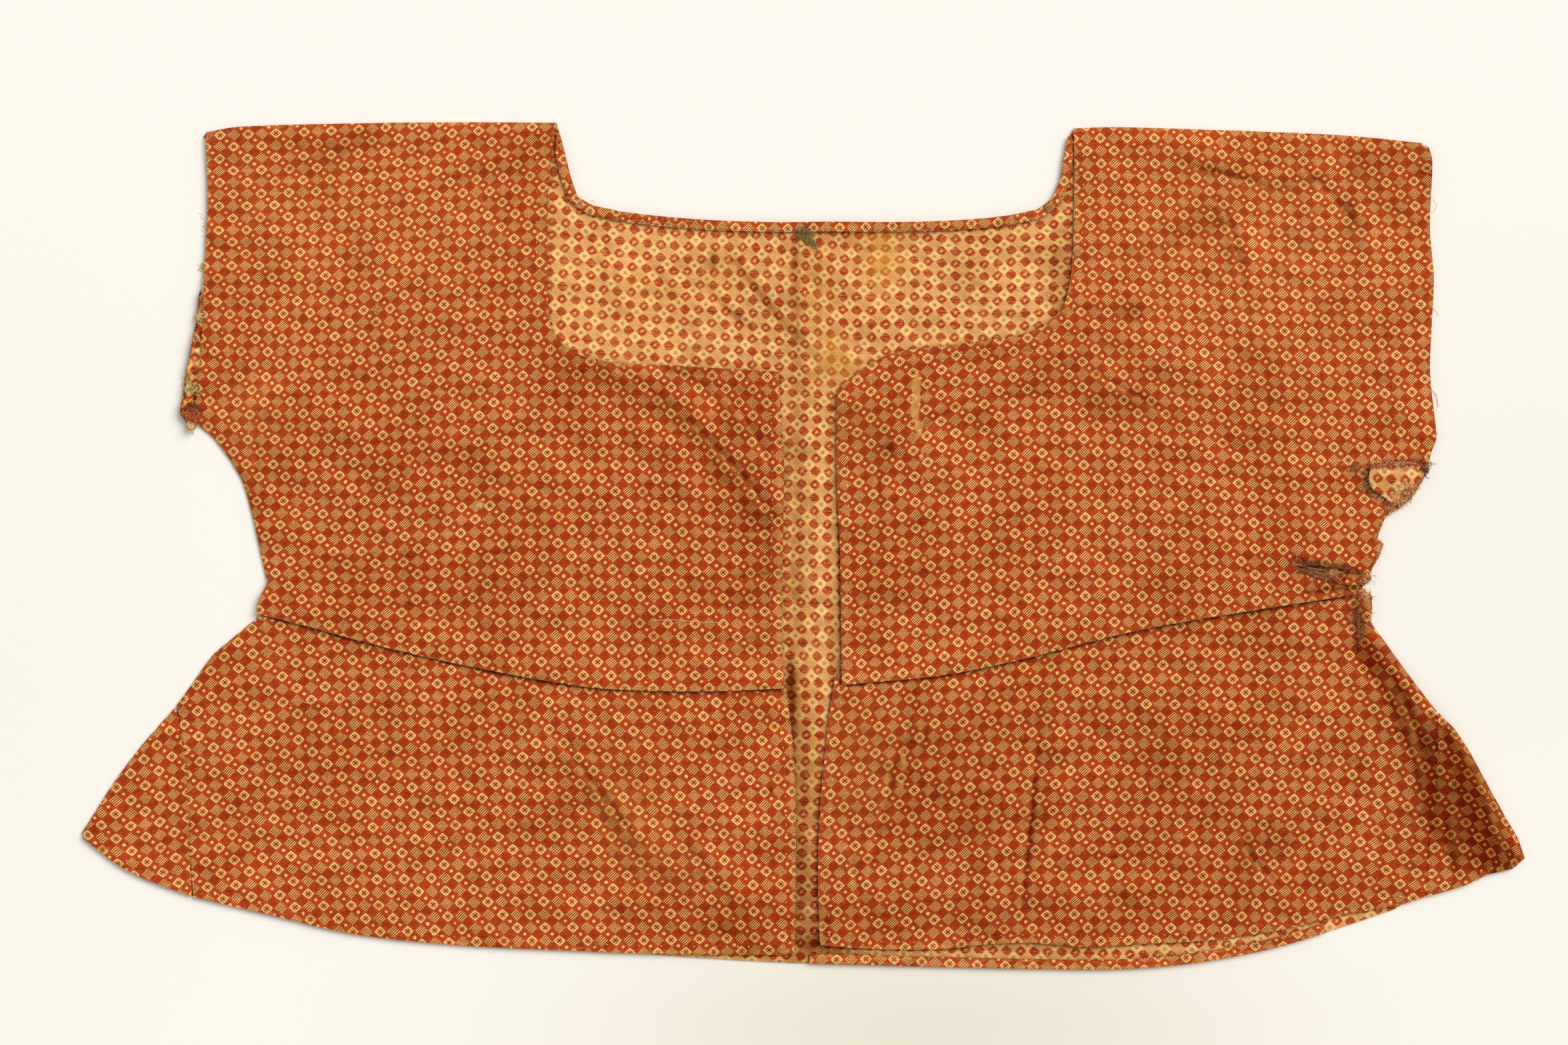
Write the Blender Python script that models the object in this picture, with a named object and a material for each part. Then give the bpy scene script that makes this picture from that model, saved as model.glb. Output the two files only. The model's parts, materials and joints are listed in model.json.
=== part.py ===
"""Short gown of printed cotton, laid flat on its back with its front upwards.

Every size is in millimetres, measured on the lying garment from the middle of
its width and its height. +X is to the right as seen from above, +Y towards the
shoulders, and +Z up through the layers. The back lies on the surface, the two
fronts lie on the back, and the bodice laps over the peplum at the waist.
"""

import math
from collections import namedtuple

import bmesh
import bpy
from mathutils import Vector
from mathutils.geometry import delaunay_2d_cdt

MM = 0.001

# Driving sizes
CLOTH = 1.0  # wall of every piece
GAP = 0.3  # between two layers, and between two pieces at a seam
LAP = 5.0  # the bodice's turned waist edge lies this far over the peplum
LAP_CLEAR = 3.0  # the bodice stays up this far past the peplum's hidden edge
RAMP = 8.0  # then it comes down to the back over this length
HEM = 4.5  # width of a narrow turned hem
CURL = 1.8  # how far the torn flap's free corner stands up
CURL_REACH = 16.0  # at this distance from the flap's fold
FADE = 4.0  # the back's folds die out over this length where a front covers it

# Levels of the undersides
FRONT_LEVEL = CLOTH + GAP
LAPPED_LEVEL = 2 * (CLOTH + GAP)

# A closed edge rolls over from the front layer down to the surface
ROLL = (2 * CLOTH + GAP) / 2
BACK_INSET = ROLL + GAP  # the back ends here where the front rolls over it
RAW_INSET = 0.6  # the back ends here under an edge that is open or torn

# Spacing of the points that carry the surface
EDGE_STEP = 10.0
FIELD_STEP = 24.0
FOLD_STEP = 13.0
POINT_ROOM = 2.6  # least distance between two points of a surface
FIELD_ROOM = 9.6  # and between a point of the even field and any other
MERGE = 0.5  # outline points closer than this are one point
ROLL_STEPS = 4
SHARP_ANGLE = math.radians(35)

Spot = namedtuple("Spot", "x y")

# Outline, from the photographed garment. Shoulders run from the neck outwards,
# sides and cuffs run downwards, waists and hems run from left to right.
SHOULDER_LEFT = [Spot(-113.0, 194.3), Spot(-150, 194.6), Spot(-200, 194.2), Spot(-262, 192.4),
                 Spot(-274.2, 190.0)]
CUFF_LEFT = [Spot(-274.4, 187), Spot(-273.4, 162), Spot(-274.5, 135), Spot(-277.2, 107),
             Spot(-280.5, 88), Spot(-285.5, 66), Spot(-282.5, 56)]
UNDERARM_LEFT = [Spot(-277.5, 55.2), Spot(-270.5, 49.3), Spot(-262.9, 39.2), Spot(-257.3, 29.4),
                 Spot(-253.7, 16.8), Spot(-250.3, 1.8), Spot(-246.6, -15)]
NOTCH_LEFT = [Spot(-246.0, -18), Spot(-249.6, -23.5), Spot(-251.0, -31.0)]
PEPLUM_SIDE_LEFT = [Spot(-252.6, -34.5), Spot(-259.2, -40.0), Spot(-270.5, -49.3),
                    Spot(-280.3, -63.0), Spot(-288.0, -73.6)]
GORE_SIDE_LEFT = [Spot(-288.8, -74.6), Spot(-303.2, -90.9), Spot(-316.1, -108.0),
                  Spot(-324.4, -120.9), Spot(-331.4, -131.9)]
GORE_HEM_LEFT = [Spot(-330.6, -134.2), Spot(-316.1, -145.7), Spot(-302.6, -153.0),
                 Spot(-281.0, -160.8)]
PEPLUM_HEM_LEFT = [Spot(-280.0, -161.2), Spot(-241.1, -170.4), Spot(-206.9, -178.2),
                   Spot(-159.1, -183.4), Spot(-117.8, -185.4), Spot(-72.5, -187.3),
                   Spot(-9.2, -187.9), Spot(-4.0, -186.9)]
GORE_SEAM_LEFT = [Spot(-288.3, -74.0), Spot(-283.4, -96.4), Spot(-281.8, -123.6), Spot(-280.5, -161.0)]
WAIST_LEFT = [Spot(-251.0, -31.0), Spot(-229.8, -36.4), Spot(-197.4, -45.2), Spot(-154.5, -55.1),
              Spot(-101.0, -64.6), Spot(-72.5, -66.5), Spot(-38.6, -66.7), Spot(-8.6, -65.5)]
NECK_LEFT = [Spot(-11.2, 80.0), Spot(-37.3, 81.4), Spot(-60.9, 82.9), Spot(-89.0, 84.2),
             Spot(-102.5, 87.4), Spot(-111.0, 92.6), Spot(-115.4, 98.8), Spot(-117.2, 110),
             Spot(-117.4, 130), Spot(-117.2, 161.0), Spot(-116.0, 177.2), Spot(-113.8, 191.5)]
FRONT_EDGE_LEFT = [Spot(-11.2, 79.0), Spot(-10.4, 60), Spot(-8.9, 42.8), Spot(-9.2, 12.5),
                   Spot(-9.8, -24.8), Spot(-9.6, -49.5), Spot(-9.3, -57.5), Spot(-8.6, -64.5)]
PEPLUM_EDGE_LEFT = [Spot(-7.9, -62.5), Spot(-7.3, -70.1), Spot(-4.6, -92.7), Spot(-3.4, -126.7),
                    Spot(-4.0, -186.0)]

SHOULDER_RIGHT = [Spot(123.9, 191.8), Spot(140.8, 192.4), Spot(172.9, 191.6), Spot(218.2, 190.0),
                  Spot(250.3, 188.4), Spot(284.5, 185.0)]
CUFF_RIGHT = [Spot(287.0, 183.2), Spot(288.8, 178.0), Spot(288.2, 162.8), Spot(287.6, 143.5),
              Spot(289.5, 124), Spot(288.6, 104.7), Spot(287.6, 79.3), Spot(289.5, 61.8),
              Spot(290.9, 49.5)]
TORN_RIGHT = [Spot(287.9, 42.2), Spot(286.4, 33.4), Spot(281.5, 25.7), Spot(275.1, 18.1),
              Spot(267.4, 13.8), Spot(263.5, 4.0), Spot(266.2, 0.6), Spot(264.1, -6.1),
              Spot(260.7, -10.4), Spot(259.8, -15.9), Spot(256.4, -19.0), Spot(253.4, -22.0)]
PEPLUM_TORN_RIGHT = [Spot(255.4, -23.6), Spot(260.9, -22.8), Spot(261.2, -30)]
PEPLUM_SIDE_RIGHT = [Spot(260.8, -35.5), Spot(268.4, -45.9), Spot(275.7, -56.3),
                     Spot(285.8, -69.8), Spot(290.6, -75.8)]
GORE_SIDE_RIGHT = [Spot(291.4, -76.6), Spot(299.0, -83.9), Spot(305.5, -93.8), Spot(314.3, -109.9),
                   Spot(322.2, -124.2), Spot(328.3, -134.3), Spot(331.4, -143.5)]
GORE_HEM_RIGHT = [Spot(286.4, -160.9), Spot(304.2, -155.8), Spot(314.3, -150.8), Spot(326.2, -148.3)]
PEPLUM_HEM_RIGHT = [Spot(8.3, -183.6), Spot(39.8, -185.4), Spot(66.1, -185.1), Spot(85.0, -182.9),
                    Spot(106.2, -182.4), Spot(128.5, -184.3), Spot(157.6, -182.7),
                    Spot(186.4, -181.2), Spot(218.2, -176.6), Spot(245.4, -170.1),
                    Spot(276.0, -164.3), Spot(285.6, -161.1)]
GORE_SEAM_RIGHT = [Spot(290.8, -76.2), Spot(290.4, -96.7), Spot(288.9, -114.1), Spot(287.3, -130.4),
                   Spot(286.0, -161.0)]
WAIST_RIGHT = [Spot(17.6, -64.0), Spot(34.6, -62.4), Spot(60.9, -59.9), Spot(87.2, -55.1),
               Spot(111.4, -49.4), Spot(151.5, -39.3), Spot(200.7, -30.6), Spot(228.0, -26.3),
               Spot(252.4, -22.5)]
NECK_RIGHT = [Spot(124.2, 189.4), Spot(124.5, 168.6), Spot(123.9, 139.5), Spot(122.9, 123.9),
              Spot(120.6, 112.6), Spot(116.3, 105.6), Spot(109.5, 100.3), Spot(94.9, 96.1),
              Spot(65.5, 92.1), Spot(51.1, 90.6), Spot(36.4, 86.9), Spot(26.6, 80.8),
              Spot(16.6, 73.4)]
FRONT_EDGE_RIGHT = [Spot(15.3, 71.2), Spot(15.3, 30.0), Spot(16.8, -1.5), Spot(17.4, -48),
                    Spot(17.5, -56), Spot(17.6, -63.0)]
PEPLUM_EDGE_RIGHT = [Spot(14.4, -59.5), Spot(13.6, -66), Spot(11.3, -81.4), Spot(8.0, -115.4),
                     Spot(6.7, -149.3), Spot(7.4, -182.4)]

# The back shows inside the neck, and below the fronts along its hem
BACK_NECK = [Spot(121.5, 187.9), Spot(119.6, 178.4), Spot(118.2, 168.6), Spot(114.4, 159.6),
             Spot(108.0, 154.6), Spot(94.9, 151.8), Spot(75.3, 149.8), Spot(46.2, 148.7),
             Spot(9.5, 148.9), Spot(-8.3, 148.6), Spot(-37.3, 149.3), Spot(-60.9, 150.9),
             Spot(-84.2, 153.6), Spot(-97.0, 156.4), Spot(-103.6, 160.3), Spot(-106.9, 169.5),
             Spot(-109.5, 180.8), Spot(-112.0, 190.0)]
BACK_HEM = [Spot(-64, -188.2), Spot(-38.6, -189.7), Spot(-7.7, -191.4), Spot(34.6, -192.6),
            Spot(76.5, -193.7), Spot(138.3, -194.6), Spot(160, -193.6), Spot(186.4, -190.6),
            Spot(218.2, -184.2), Spot(250.3, -174.2), Spot(272.6, -166.6)]
BACK_HEM_SHOWN = (-2.9, 242.0)  # its turned hem shows between these x
NECK_HEM_ROOM = 0.6  # the neck's turned hem keeps this far from the fronts' neck edges

# Torn places on the right
SLIT = [Spot(226.0, -9.3), Spot(231.8, -12.8), Spot(238.7, -14.6), Spot(246.0, -14.2),
        Spot(251.6, -13.4), Spot(250.0, -11.2), Spot(243.6, -9.8), Spot(234.1, -9.0)]
FLAP = [Spot(260.0, 35.8), Spot(258.8, 30.5), Spot(260.8, 25.8), Spot(265.5, 22.8),
        Spot(271.4, 18.6), Spot(276.6, 20.9), Spot(280.2, 26.4), Spot(284.6, 32.0),
        Spot(286.2, 36.6), Spot(278.4, 38.7), Spot(268.5, 38.3)]

# Largest folds. Each crest runs from its start past its middle to its end, rises
# by this much, and is back to nothing at its reach on either side.
Fold = namedtuple("Fold", "x0 y0 x1 y1 x2 y2 rise reach")
FRONT_FOLDS = [
    Fold(-97, 80, -55, 66, -19, 13, 3.0, 8.0),
    Fold(-45, 79, -26, 50, -12, 22, 2.4, 6.0),
    Fold(-88, 60, -62, 42, -48, 8, 1.6, 9.0),
    Fold(-212, 168, -190, 120, -196, 66, 1.2, 10.0),
    Fold(-246, 36, -214, 26, -182, 2, 1.6, 9.0),
    Fold(-112, -85, -86, -121, -70, -143, 2.2, 8.0),
    Fold(-54, -128, -38, -150, -24, -166, 1.8, 7.0),
    Fold(-232, -58, -222, -92, -236, -124, 1.6, 9.0),
    Fold(-180, -96, -160, -126, -166, -160, 1.4, 9.0),
    Fold(163, 185, 188, 178, 221, 166, 2.6, 7.0),
    Fold(186, 162, 203, 140, 204, 114, 2.2, 7.0),
    Fold(228, 174, 254, 158, 257, 124, 2.6, 7.0),
    Fold(264, 158, 274, 156, 284, 148, 1.6, 5.0),
    Fold(128, 83, 146, 72, 160, 64, 1.8, 6.0),
    Fold(196, 70, 224, 52, 248, 48, 1.4, 8.0),
    Fold(214, -3, 236, -3, 255, -8, 2.6, 5.5),
    Fold(36, 40, 38, 26, 36, 10, 1.6, 5.0),
    Fold(110, -60, 116, -112, 99, -168, 2.2, 7.0),
    Fold(54, -70, 52, -98, 36, -120, 2.0, 7.0),
    Fold(80, -134, 84, -150, 87, -168, 1.6, 6.0),
    Fold(160, -66, 176, -104, 170, -150, 1.6, 9.0),
    Fold(244, -50, 272, -86, 284, -140, 3.6, 8.0),
    Fold(265, -48, 292, -84, 306, -128, 3.8, 8.0),
    Fold(303, -102, 318, -128, 321, -144, 2.6, 6.0),
]
BACK_FOLDS = [
    Fold(-56, 146, -26, 126, -8, 98, 1.6, 7.0),
    Fold(-30, 146, -12, 126, -2, 90, 1.4, 6.0),
    Fold(10, 145, 9, 110, 9, 78, 1.0, 4.0),
    Fold(2, 70, 4, 20, 3, -30, 1.0, 5.0),
]

# Printed cotton: its right side, its paler wrong side, and the turned hems
Finish = namedtuple("Finish", "red green blue roughness")
RIGHT_SIDE = Finish(0.43, 0.10, 0.035, 0.88)
WRONG_SIDE = Finish(0.66, 0.40, 0.19, 0.90)
TURNED_HEM = Finish(0.36, 0.085, 0.03, 0.88)


def clear_scene():
    for item in list(bpy.data.objects):
        bpy.data.objects.remove(item)


def vectors(spots):
    return [Vector((spot.x, spot.y)) for spot in spots]


def curve(spots, step=EDGE_STEP):
    """Points about one step apart on a smooth line through the spots."""
    knots = vectors(spots)
    knots = [2 * knots[0] - knots[1], *knots, 2 * knots[-1] - knots[-2]]
    points = [knots[1]]
    for before, start, end, after in zip(knots, knots[1:], knots[2:], knots[3:]):
        parts = max(1, round((end - start).length / step))
        leave = (end - before).normalized() * (end - start).length
        arrive = (after - start).normalized() * (end - start).length
        for part in range(1, parts + 1):
            t = part / parts
            points.append(
                start * (2 * t**3 - 3 * t**2 + 1)
                + leave * (t**3 - 2 * t**2 + t)
                + end * (3 * t**2 - 2 * t**3)
                + arrive * (t**3 - t**2)
            )
    return points


def side_normals(points):
    """At each point of a line, the unit vector to the right of its direction."""
    normals = []
    for number, _ in enumerate(points):
        ahead = points[min(number + 1, len(points) - 1)]
        behind = points[max(number - 1, 0)]
        along = (ahead - behind).normalized()
        normals.append(Vector((along.y, -along.x)))
    return normals


def moved(points, outwards):
    """The line moved to its right, which is outwards on a counter-clockwise outline."""
    return [point + normal * outwards for point, normal in zip(points, side_normals(points))]


def flip(points):
    return list(reversed(points))


def joined(*lines):
    """One closed outline of several lines, without points that nearly meet."""
    outline = []
    for line in lines:
        outline += [p for p in line if all((p - q).length > MERGE for q in outline[-3:] + outline[:1])]
    return outline


def distance_to(line, point):
    """Distance from a point to a line, and how far along the line that is, from 0 to 1."""
    best, place = math.inf, 0.0
    for number, (start, end) in enumerate(zip(line, line[1:])):
        along = end - start
        share = max(0.0, min(1.0, (point - start).dot(along) / along.length_squared))
        away = (point - start - along * share).length
        if away < best:
            best, place = away, (number + share) / (len(line) - 1)
    return best, place


def inside(outline, point):
    """True where the point lies within a closed outline."""
    hit = False
    for start, end in zip(outline, outline[1:] + outline[:1]):
        if (start.y > point.y) != (end.y > point.y):
            across = start.x + (point.y - start.y) / (end.y - start.y) * (end.x - start.x)
            hit ^= point.x < across
    return hit


def smoothstep(value):
    value = max(0.0, min(1.0, value))
    return value * value * (3 - 2 * value)


def crest(fold):
    """Points along a fold's crest, a curve bent towards its middle."""
    start = Vector((fold.x0, fold.y0))
    middle = Vector((fold.x1, fold.y1))
    end = Vector((fold.x2, fold.y2))
    bend = 2 * middle - (start + end) / 2
    parts = max(3, round(((middle - start).length + (end - middle).length) / FOLD_STEP))
    return [
        start * (1 - t) ** 2 + bend * 2 * t * (1 - t) + end * t**2
        for t in (part / parts for part in range(parts + 1))
    ]


FRONT_CRESTS = [(fold, crest(fold)) for fold in FRONT_FOLDS]
BACK_CRESTS = [(fold, crest(fold)) for fold in BACK_FOLDS]


def fold_height(crests, point):
    """Height that the folds add to the cloth at a point."""
    height = 0.0
    for fold, line in crests:
        away, place = distance_to(line, point)
        if away < fold.reach:
            height += fold.rise * (1 - (away / fold.reach) ** 2) ** 2 * math.sqrt(math.sin(math.pi * place))
    return height


def fold_points(crests):
    """Points along every crest and on both of its flanks."""
    points = []
    for fold, line in crests:
        for share in (0.0, -0.5, 0.5, -1.0, 1.0):
            points += moved(line, share * fold.reach)
    return points


WAISTS = [curve(WAIST_LEFT), curve(WAIST_RIGHT)]


def waist_calm(point):
    """Folds die out at the waist seam, where the two layers are sewn flat."""
    return smoothstep((min(distance_to(line, point)[0] for line in WAISTS) - LAP - LAP_CLEAR) / RAMP)


def bodice_level(point):
    """Underside of the bodice: on the back, and over the peplum at the waist."""
    away = min(distance_to(line, point)[0] for line in WAISTS)
    lapped = smoothstep((LAP + LAP_CLEAR + RAMP - away) / RAMP)
    level = FRONT_LEVEL + (LAPPED_LEVEL - FRONT_LEVEL) * lapped
    return level + fold_height(FRONT_CRESTS, point) * waist_calm(point)


def peplum_level(point):
    return FRONT_LEVEL + fold_height(FRONT_CRESTS, point) * waist_calm(point)


BACK_SHOWN = joined(
    moved(curve(BACK_NECK), -HEM - FADE),
    flip(curve(NECK_LEFT)),
    curve(FRONT_EDGE_LEFT),
    curve(PEPLUM_EDGE_LEFT),
    flip(curve(PEPLUM_EDGE_RIGHT)),
    flip(curve(FRONT_EDGE_RIGHT)),
    flip(curve(NECK_RIGHT)),
)


def back_rise(point):
    """The back's folds show between the fronts and die out before it is covered."""
    if not inside(BACK_SHOWN, point):
        return 0.0
    away = distance_to(BACK_SHOWN + BACK_SHOWN[:1], point)[0]
    return fold_height(BACK_CRESTS, point) * smoothstep((away - MERGE) / FADE)


def flap_level(point):
    """Underside of the torn flap, which curls up towards its free corner."""
    fold_line = vectors([FLAP[4], FLAP[7]])
    away = distance_to(fold_line, point)[0]
    return LAPPED_LEVEL + CURL * smoothstep(away / CURL_REACH)


def field(outline, holes, rows):
    """Points within an outline: the given rows first, then an even field between them."""
    kept = []
    low = Vector((min(p.x for p in outline), min(p.y for p in outline)))
    high = Vector((max(p.x for p in outline), max(p.y for p in outline)))
    grid = [
        Vector((low.x + FIELD_STEP * (column + 0.5 * (row % 2)), low.y + FIELD_STEP * row))
        for row in range(1, int((high.y - low.y) / FIELD_STEP) + 1)
        for column in range(int((high.x - low.x) / FIELD_STEP) + 1)
    ]
    edges = [line + line[:1] for line in (outline, *holes)]
    for number, point in enumerate(rows + grid):
        room = POINT_ROOM if number < len(rows) else FIELD_ROOM
        if not inside(outline, point) or any(inside(hole, point) for hole in holes):
            continue
        if min(distance_to(edge, point)[0] for edge in edges) < POINT_ROOM:
            continue
        if all((point - other).length > room for other in kept):
            kept.append(point)
    return kept


def triangles(outline, holes, points):
    """The outline filled with triangles: all points, the faces, and the loops of edge points."""
    loops, spots = [], []
    for line in (outline, *holes):
        loops.append(list(range(len(spots), len(spots) + len(line))))
        spots += line
    edges = [(a, b) for loop in loops for a, b in zip(loop, loop[1:] + loop[:1])]
    found, _, faces, sources, _, _ = delaunay_2d_cdt(spots + points, edges, [loops[0]], 1, 1e-6)
    place = {source: number for number, group in enumerate(sources) for source in group}
    faces = [
        face
        for face in faces
        if not any(inside(hole, sum((found[n] for n in face), Vector((0, 0))) / 3) for hole in holes)
    ]
    return found, faces, [[place[number] for number in loop] for loop in loops]


def finish_of(name, look):
    material = bpy.data.materials.new(name)
    material.use_nodes = True
    shader = material.node_tree.nodes["Principled BSDF"]
    shader.inputs["Base Color"].default_value = (look.red, look.green, look.blue, 1)
    shader.inputs["Roughness"].default_value = look.roughness
    shader.inputs["Metallic"].default_value = 0
    return material


def roll_over(mesh, top, bottom, chain, normals):
    """Carries the wall of a front over a closed edge and down to the surface."""
    rings = []
    for number, normal in zip(chain, normals):
        side = Vector((normal.x, normal.y, 0)) * MM
        high, low = top[number].co, bottom[number].co
        ring = [top[number]]
        for step in range(1, ROLL_STEPS + 1):
            angle = math.pi * step / ROLL_STEPS
            reach = side * (ROLL * math.sin(angle))
            ring.append(mesh.verts.new(Vector((high.x, high.y, high.z * (1 + math.cos(angle)) / 2)) + reach))
        ring.append(mesh.verts.new((high.x, high.y, CLOTH * MM)))
        ring.append(mesh.verts.new(Vector((high.x, high.y, (low.z + CLOTH * MM) / 2)) + side * GAP / 2))
        ring.append(bottom[number])
        rings.append(ring)
    for ring, following in zip(rings, rings[1:]):
        for a, b, c, d in zip(ring, following, following[1:] + following[:1], ring[1:] + ring[:1]):
            if {a, d} != {ring[0], ring[-1]}:
                mesh.faces.new((a, b, c, d)[::-1])
    mesh.faces.new(rings[0][::-1])
    mesh.faces.new(rings[-1])


def sheet(name, outline, look, level, rise=None, rolled=(), holes=(), rows=()):
    """One piece of cloth: a wall on its own level, closed all round.

    level gives the underside at a point, and rise what the top adds to the wall there.
    rolled holds the lines of the outline that roll over to the surface.
    """
    holes = list(holes)
    points, faces, loops = triangles(outline, holes, field(outline, holes, list(rows)))
    mesh = bmesh.new()
    top, bottom = [], []
    for point in points:
        low = level(point)
        high = low + CLOTH + (rise(point) if rise else 0)
        top.append(mesh.verts.new((point.x * MM, point.y * MM, high * MM)))
        bottom.append(mesh.verts.new((point.x * MM, point.y * MM, low * MM)))
    for face in faces:
        mesh.faces.new([top[n] for n in face])
        mesh.faces.new([bottom[n] for n in reversed(face)])
    rolled_edges = set()
    for line in rolled:
        chain = [loops[0][outline.index(point)] for point in line]
        rolled_edges |= set(zip(chain, chain[1:]))
        roll_over(mesh, top, bottom, chain, side_normals(line))
    for loop in loops:
        for a, b in zip(loop, loop[1:] + loop[:1]):
            if (a, b) not in rolled_edges:
                mesh.faces.new((bottom[a], bottom[b], top[b], top[a]))
    mesh.normal_update()
    data = bpy.data.meshes.new(name)
    mesh.to_mesh(data)
    mesh.free()
    data.set_sharp_from_angle(angle=SHARP_ANGLE)
    data.materials.append(finish_of(name, look))
    piece = bpy.data.objects.new(name, data)
    bpy.context.scene.collection.objects.link(piece)
    return piece


def lap_rows(waist):
    """Rows of points along the lap of a bodice: its high level and the foot of its ramp."""
    high = LAP + LAP_CLEAR
    return moved(waist, -high) + moved(waist, -high - RAMP / 2) + moved(waist, -high - RAMP)


def bodice_left():
    waist = curve(WAIST_LEFT)
    shoulder = moved(curve(SHOULDER_LEFT), -ROLL)
    underarm = moved(curve(UNDERARM_LEFT), -ROLL)
    outline = joined(flip(curve(FRONT_EDGE_LEFT)), curve(NECK_LEFT), shoulder, curve(CUFF_LEFT),
                     underarm, curve(NOTCH_LEFT), waist)
    sheet("bodice_left", outline, RIGHT_SIDE, bodice_level, rolled=[shoulder, underarm],
          rows=lap_rows(waist) + fold_points(FRONT_CRESTS))


def bodice_right():
    waist = curve(WAIST_RIGHT)
    shoulder = moved(flip(curve(SHOULDER_RIGHT)), -ROLL)
    outline = joined(waist, flip(vectors(TORN_RIGHT)), flip(curve(CUFF_RIGHT)), shoulder,
                     curve(NECK_RIGHT), curve(FRONT_EDGE_RIGHT))
    sheet("bodice_right", outline, RIGHT_SIDE, bodice_level, rolled=[shoulder],
          holes=[flip(vectors(SLIT))], rows=lap_rows(waist) + fold_points(FRONT_CRESTS))


def peplum_left():
    top = moved(flip(curve(WAIST_LEFT)), LAP)
    side = moved(curve(PEPLUM_SIDE_LEFT), -ROLL)
    seam = moved(curve(GORE_SEAM_LEFT), -GAP / 2)
    outline = joined(curve(PEPLUM_HEM_LEFT), flip(curve(PEPLUM_EDGE_LEFT)), top[1:-1], side,
                     seam[1:])
    sheet("peplum_left", outline, RIGHT_SIDE, peplum_level, rolled=[side],
          rows=fold_points(FRONT_CRESTS))


def peplum_right():
    top = moved(flip(curve(WAIST_RIGHT)), LAP)
    side = moved(flip(curve(PEPLUM_SIDE_RIGHT)), -ROLL)
    seam = moved(flip(curve(GORE_SEAM_RIGHT)), -GAP / 2)
    outline = joined(curve(PEPLUM_HEM_RIGHT), seam[:-1], side, flip(vectors(PEPLUM_TORN_RIGHT)),
                     top[1:-1], curve(PEPLUM_EDGE_RIGHT))
    sheet("peplum_right", outline, RIGHT_SIDE, peplum_level, rolled=[side],
          rows=fold_points(FRONT_CRESTS))


def gore_left():
    side = moved(curve(GORE_SIDE_LEFT), -ROLL)
    seam = moved(flip(curve(GORE_SEAM_LEFT)), -GAP / 2)
    outline = joined(side, curve(GORE_HEM_LEFT), seam[:-1])
    sheet("gore_left", outline, RIGHT_SIDE, peplum_level, rolled=[side],
          rows=fold_points(FRONT_CRESTS))


def gore_right():
    side = moved(flip(curve(GORE_SIDE_RIGHT)), -ROLL)
    seam = moved(curve(GORE_SEAM_RIGHT), -GAP / 2)
    outline = joined(seam[1:], curve(GORE_HEM_RIGHT), side)
    sheet("gore_right", outline, RIGHT_SIDE, peplum_level, rolled=[side],
          rows=fold_points(FRONT_CRESTS))


def back():
    """The back lies flat on the surface, with folds raised on the inside that shows."""
    outline = joined(
        moved(curve(GORE_HEM_LEFT), -RAW_INSET),
        [p for p in moved(curve(PEPLUM_HEM_LEFT), -RAW_INSET) if p.x < BACK_HEM[0].x - EDGE_STEP],
        curve(BACK_HEM),
        [p for p in moved(curve(PEPLUM_HEM_RIGHT), -RAW_INSET) if p.x > BACK_HEM[-1].x + 2],
        moved(curve(GORE_HEM_RIGHT), -RAW_INSET),
        moved(flip(curve(GORE_SIDE_RIGHT)), -BACK_INSET),
        moved(flip(curve(PEPLUM_SIDE_RIGHT)), -BACK_INSET),
        moved(flip(vectors(PEPLUM_TORN_RIGHT[1:])), -RAW_INSET),
        moved(flip(vectors(TORN_RIGHT[:-1])), -RAW_INSET),
        moved(flip(curve(CUFF_RIGHT)), -RAW_INSET),
        moved(flip(curve(SHOULDER_RIGHT)), -BACK_INSET),
        curve(BACK_NECK),
        moved(curve(SHOULDER_LEFT), -BACK_INSET),
        moved(curve(CUFF_LEFT), -RAW_INSET),
        moved(curve(UNDERARM_LEFT), -BACK_INSET),
        moved(curve(NOTCH_LEFT), -RAW_INSET),
        moved(curve(PEPLUM_SIDE_LEFT), -BACK_INSET),
        moved(curve(GORE_SIDE_LEFT), -BACK_INSET),
    )
    sheet("back", outline, WRONG_SIDE, lambda point: 0.0, rise=back_rise,
          rows=BACK_SHOWN + fold_points(BACK_CRESTS))


def neck_hem():
    """The back's hem, turned to the side that shows. It narrows between neck and front."""
    edge = curve(BACK_NECK)
    fronts = [curve(NECK_LEFT), curve(NECK_RIGHT)]
    inner = []
    for point, normal in zip(edge, side_normals(edge)):
        room = min(distance_to(line, point)[0] for line in fronts) - NECK_HEM_ROOM
        inner.append(point - normal * min(HEM, room))
    sheet("neck_hem", joined(edge, flip(inner)), TURNED_HEM, lambda point: FRONT_LEVEL)


def back_hem():
    low, high = BACK_HEM_SHOWN
    edge = [p for p in curve(BACK_HEM) if low < p.x < high]
    sheet("back_hem", joined(edge, flip(moved(edge, -HEM))), TURNED_HEM, lambda point: FRONT_LEVEL)


def torn_flap():
    sheet("torn_flap", vectors(FLAP), WRONG_SIDE, flap_level)


def main():
    clear_scene()
    back()
    bodice_left()
    bodice_right()
    peplum_left()
    peplum_right()
    gore_left()
    gore_right()
    neck_hem()
    back_hem()
    torn_flap()


main()
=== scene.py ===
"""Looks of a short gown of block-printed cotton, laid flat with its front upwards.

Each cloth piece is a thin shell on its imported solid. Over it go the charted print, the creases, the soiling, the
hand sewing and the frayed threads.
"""

import json
import logging
import math
import random
from collections.abc import Iterable, Sequence
from dataclasses import dataclass, field
from enum import Enum
from typing import NamedTuple, TypeVar

import bpy
import numpy as np
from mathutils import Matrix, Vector, noise
from mathutils.bvhtree import BVHTree
from mathutils.geometry import delaunay_2d_cdt
from mathutils.kdtree import KDTree

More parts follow.
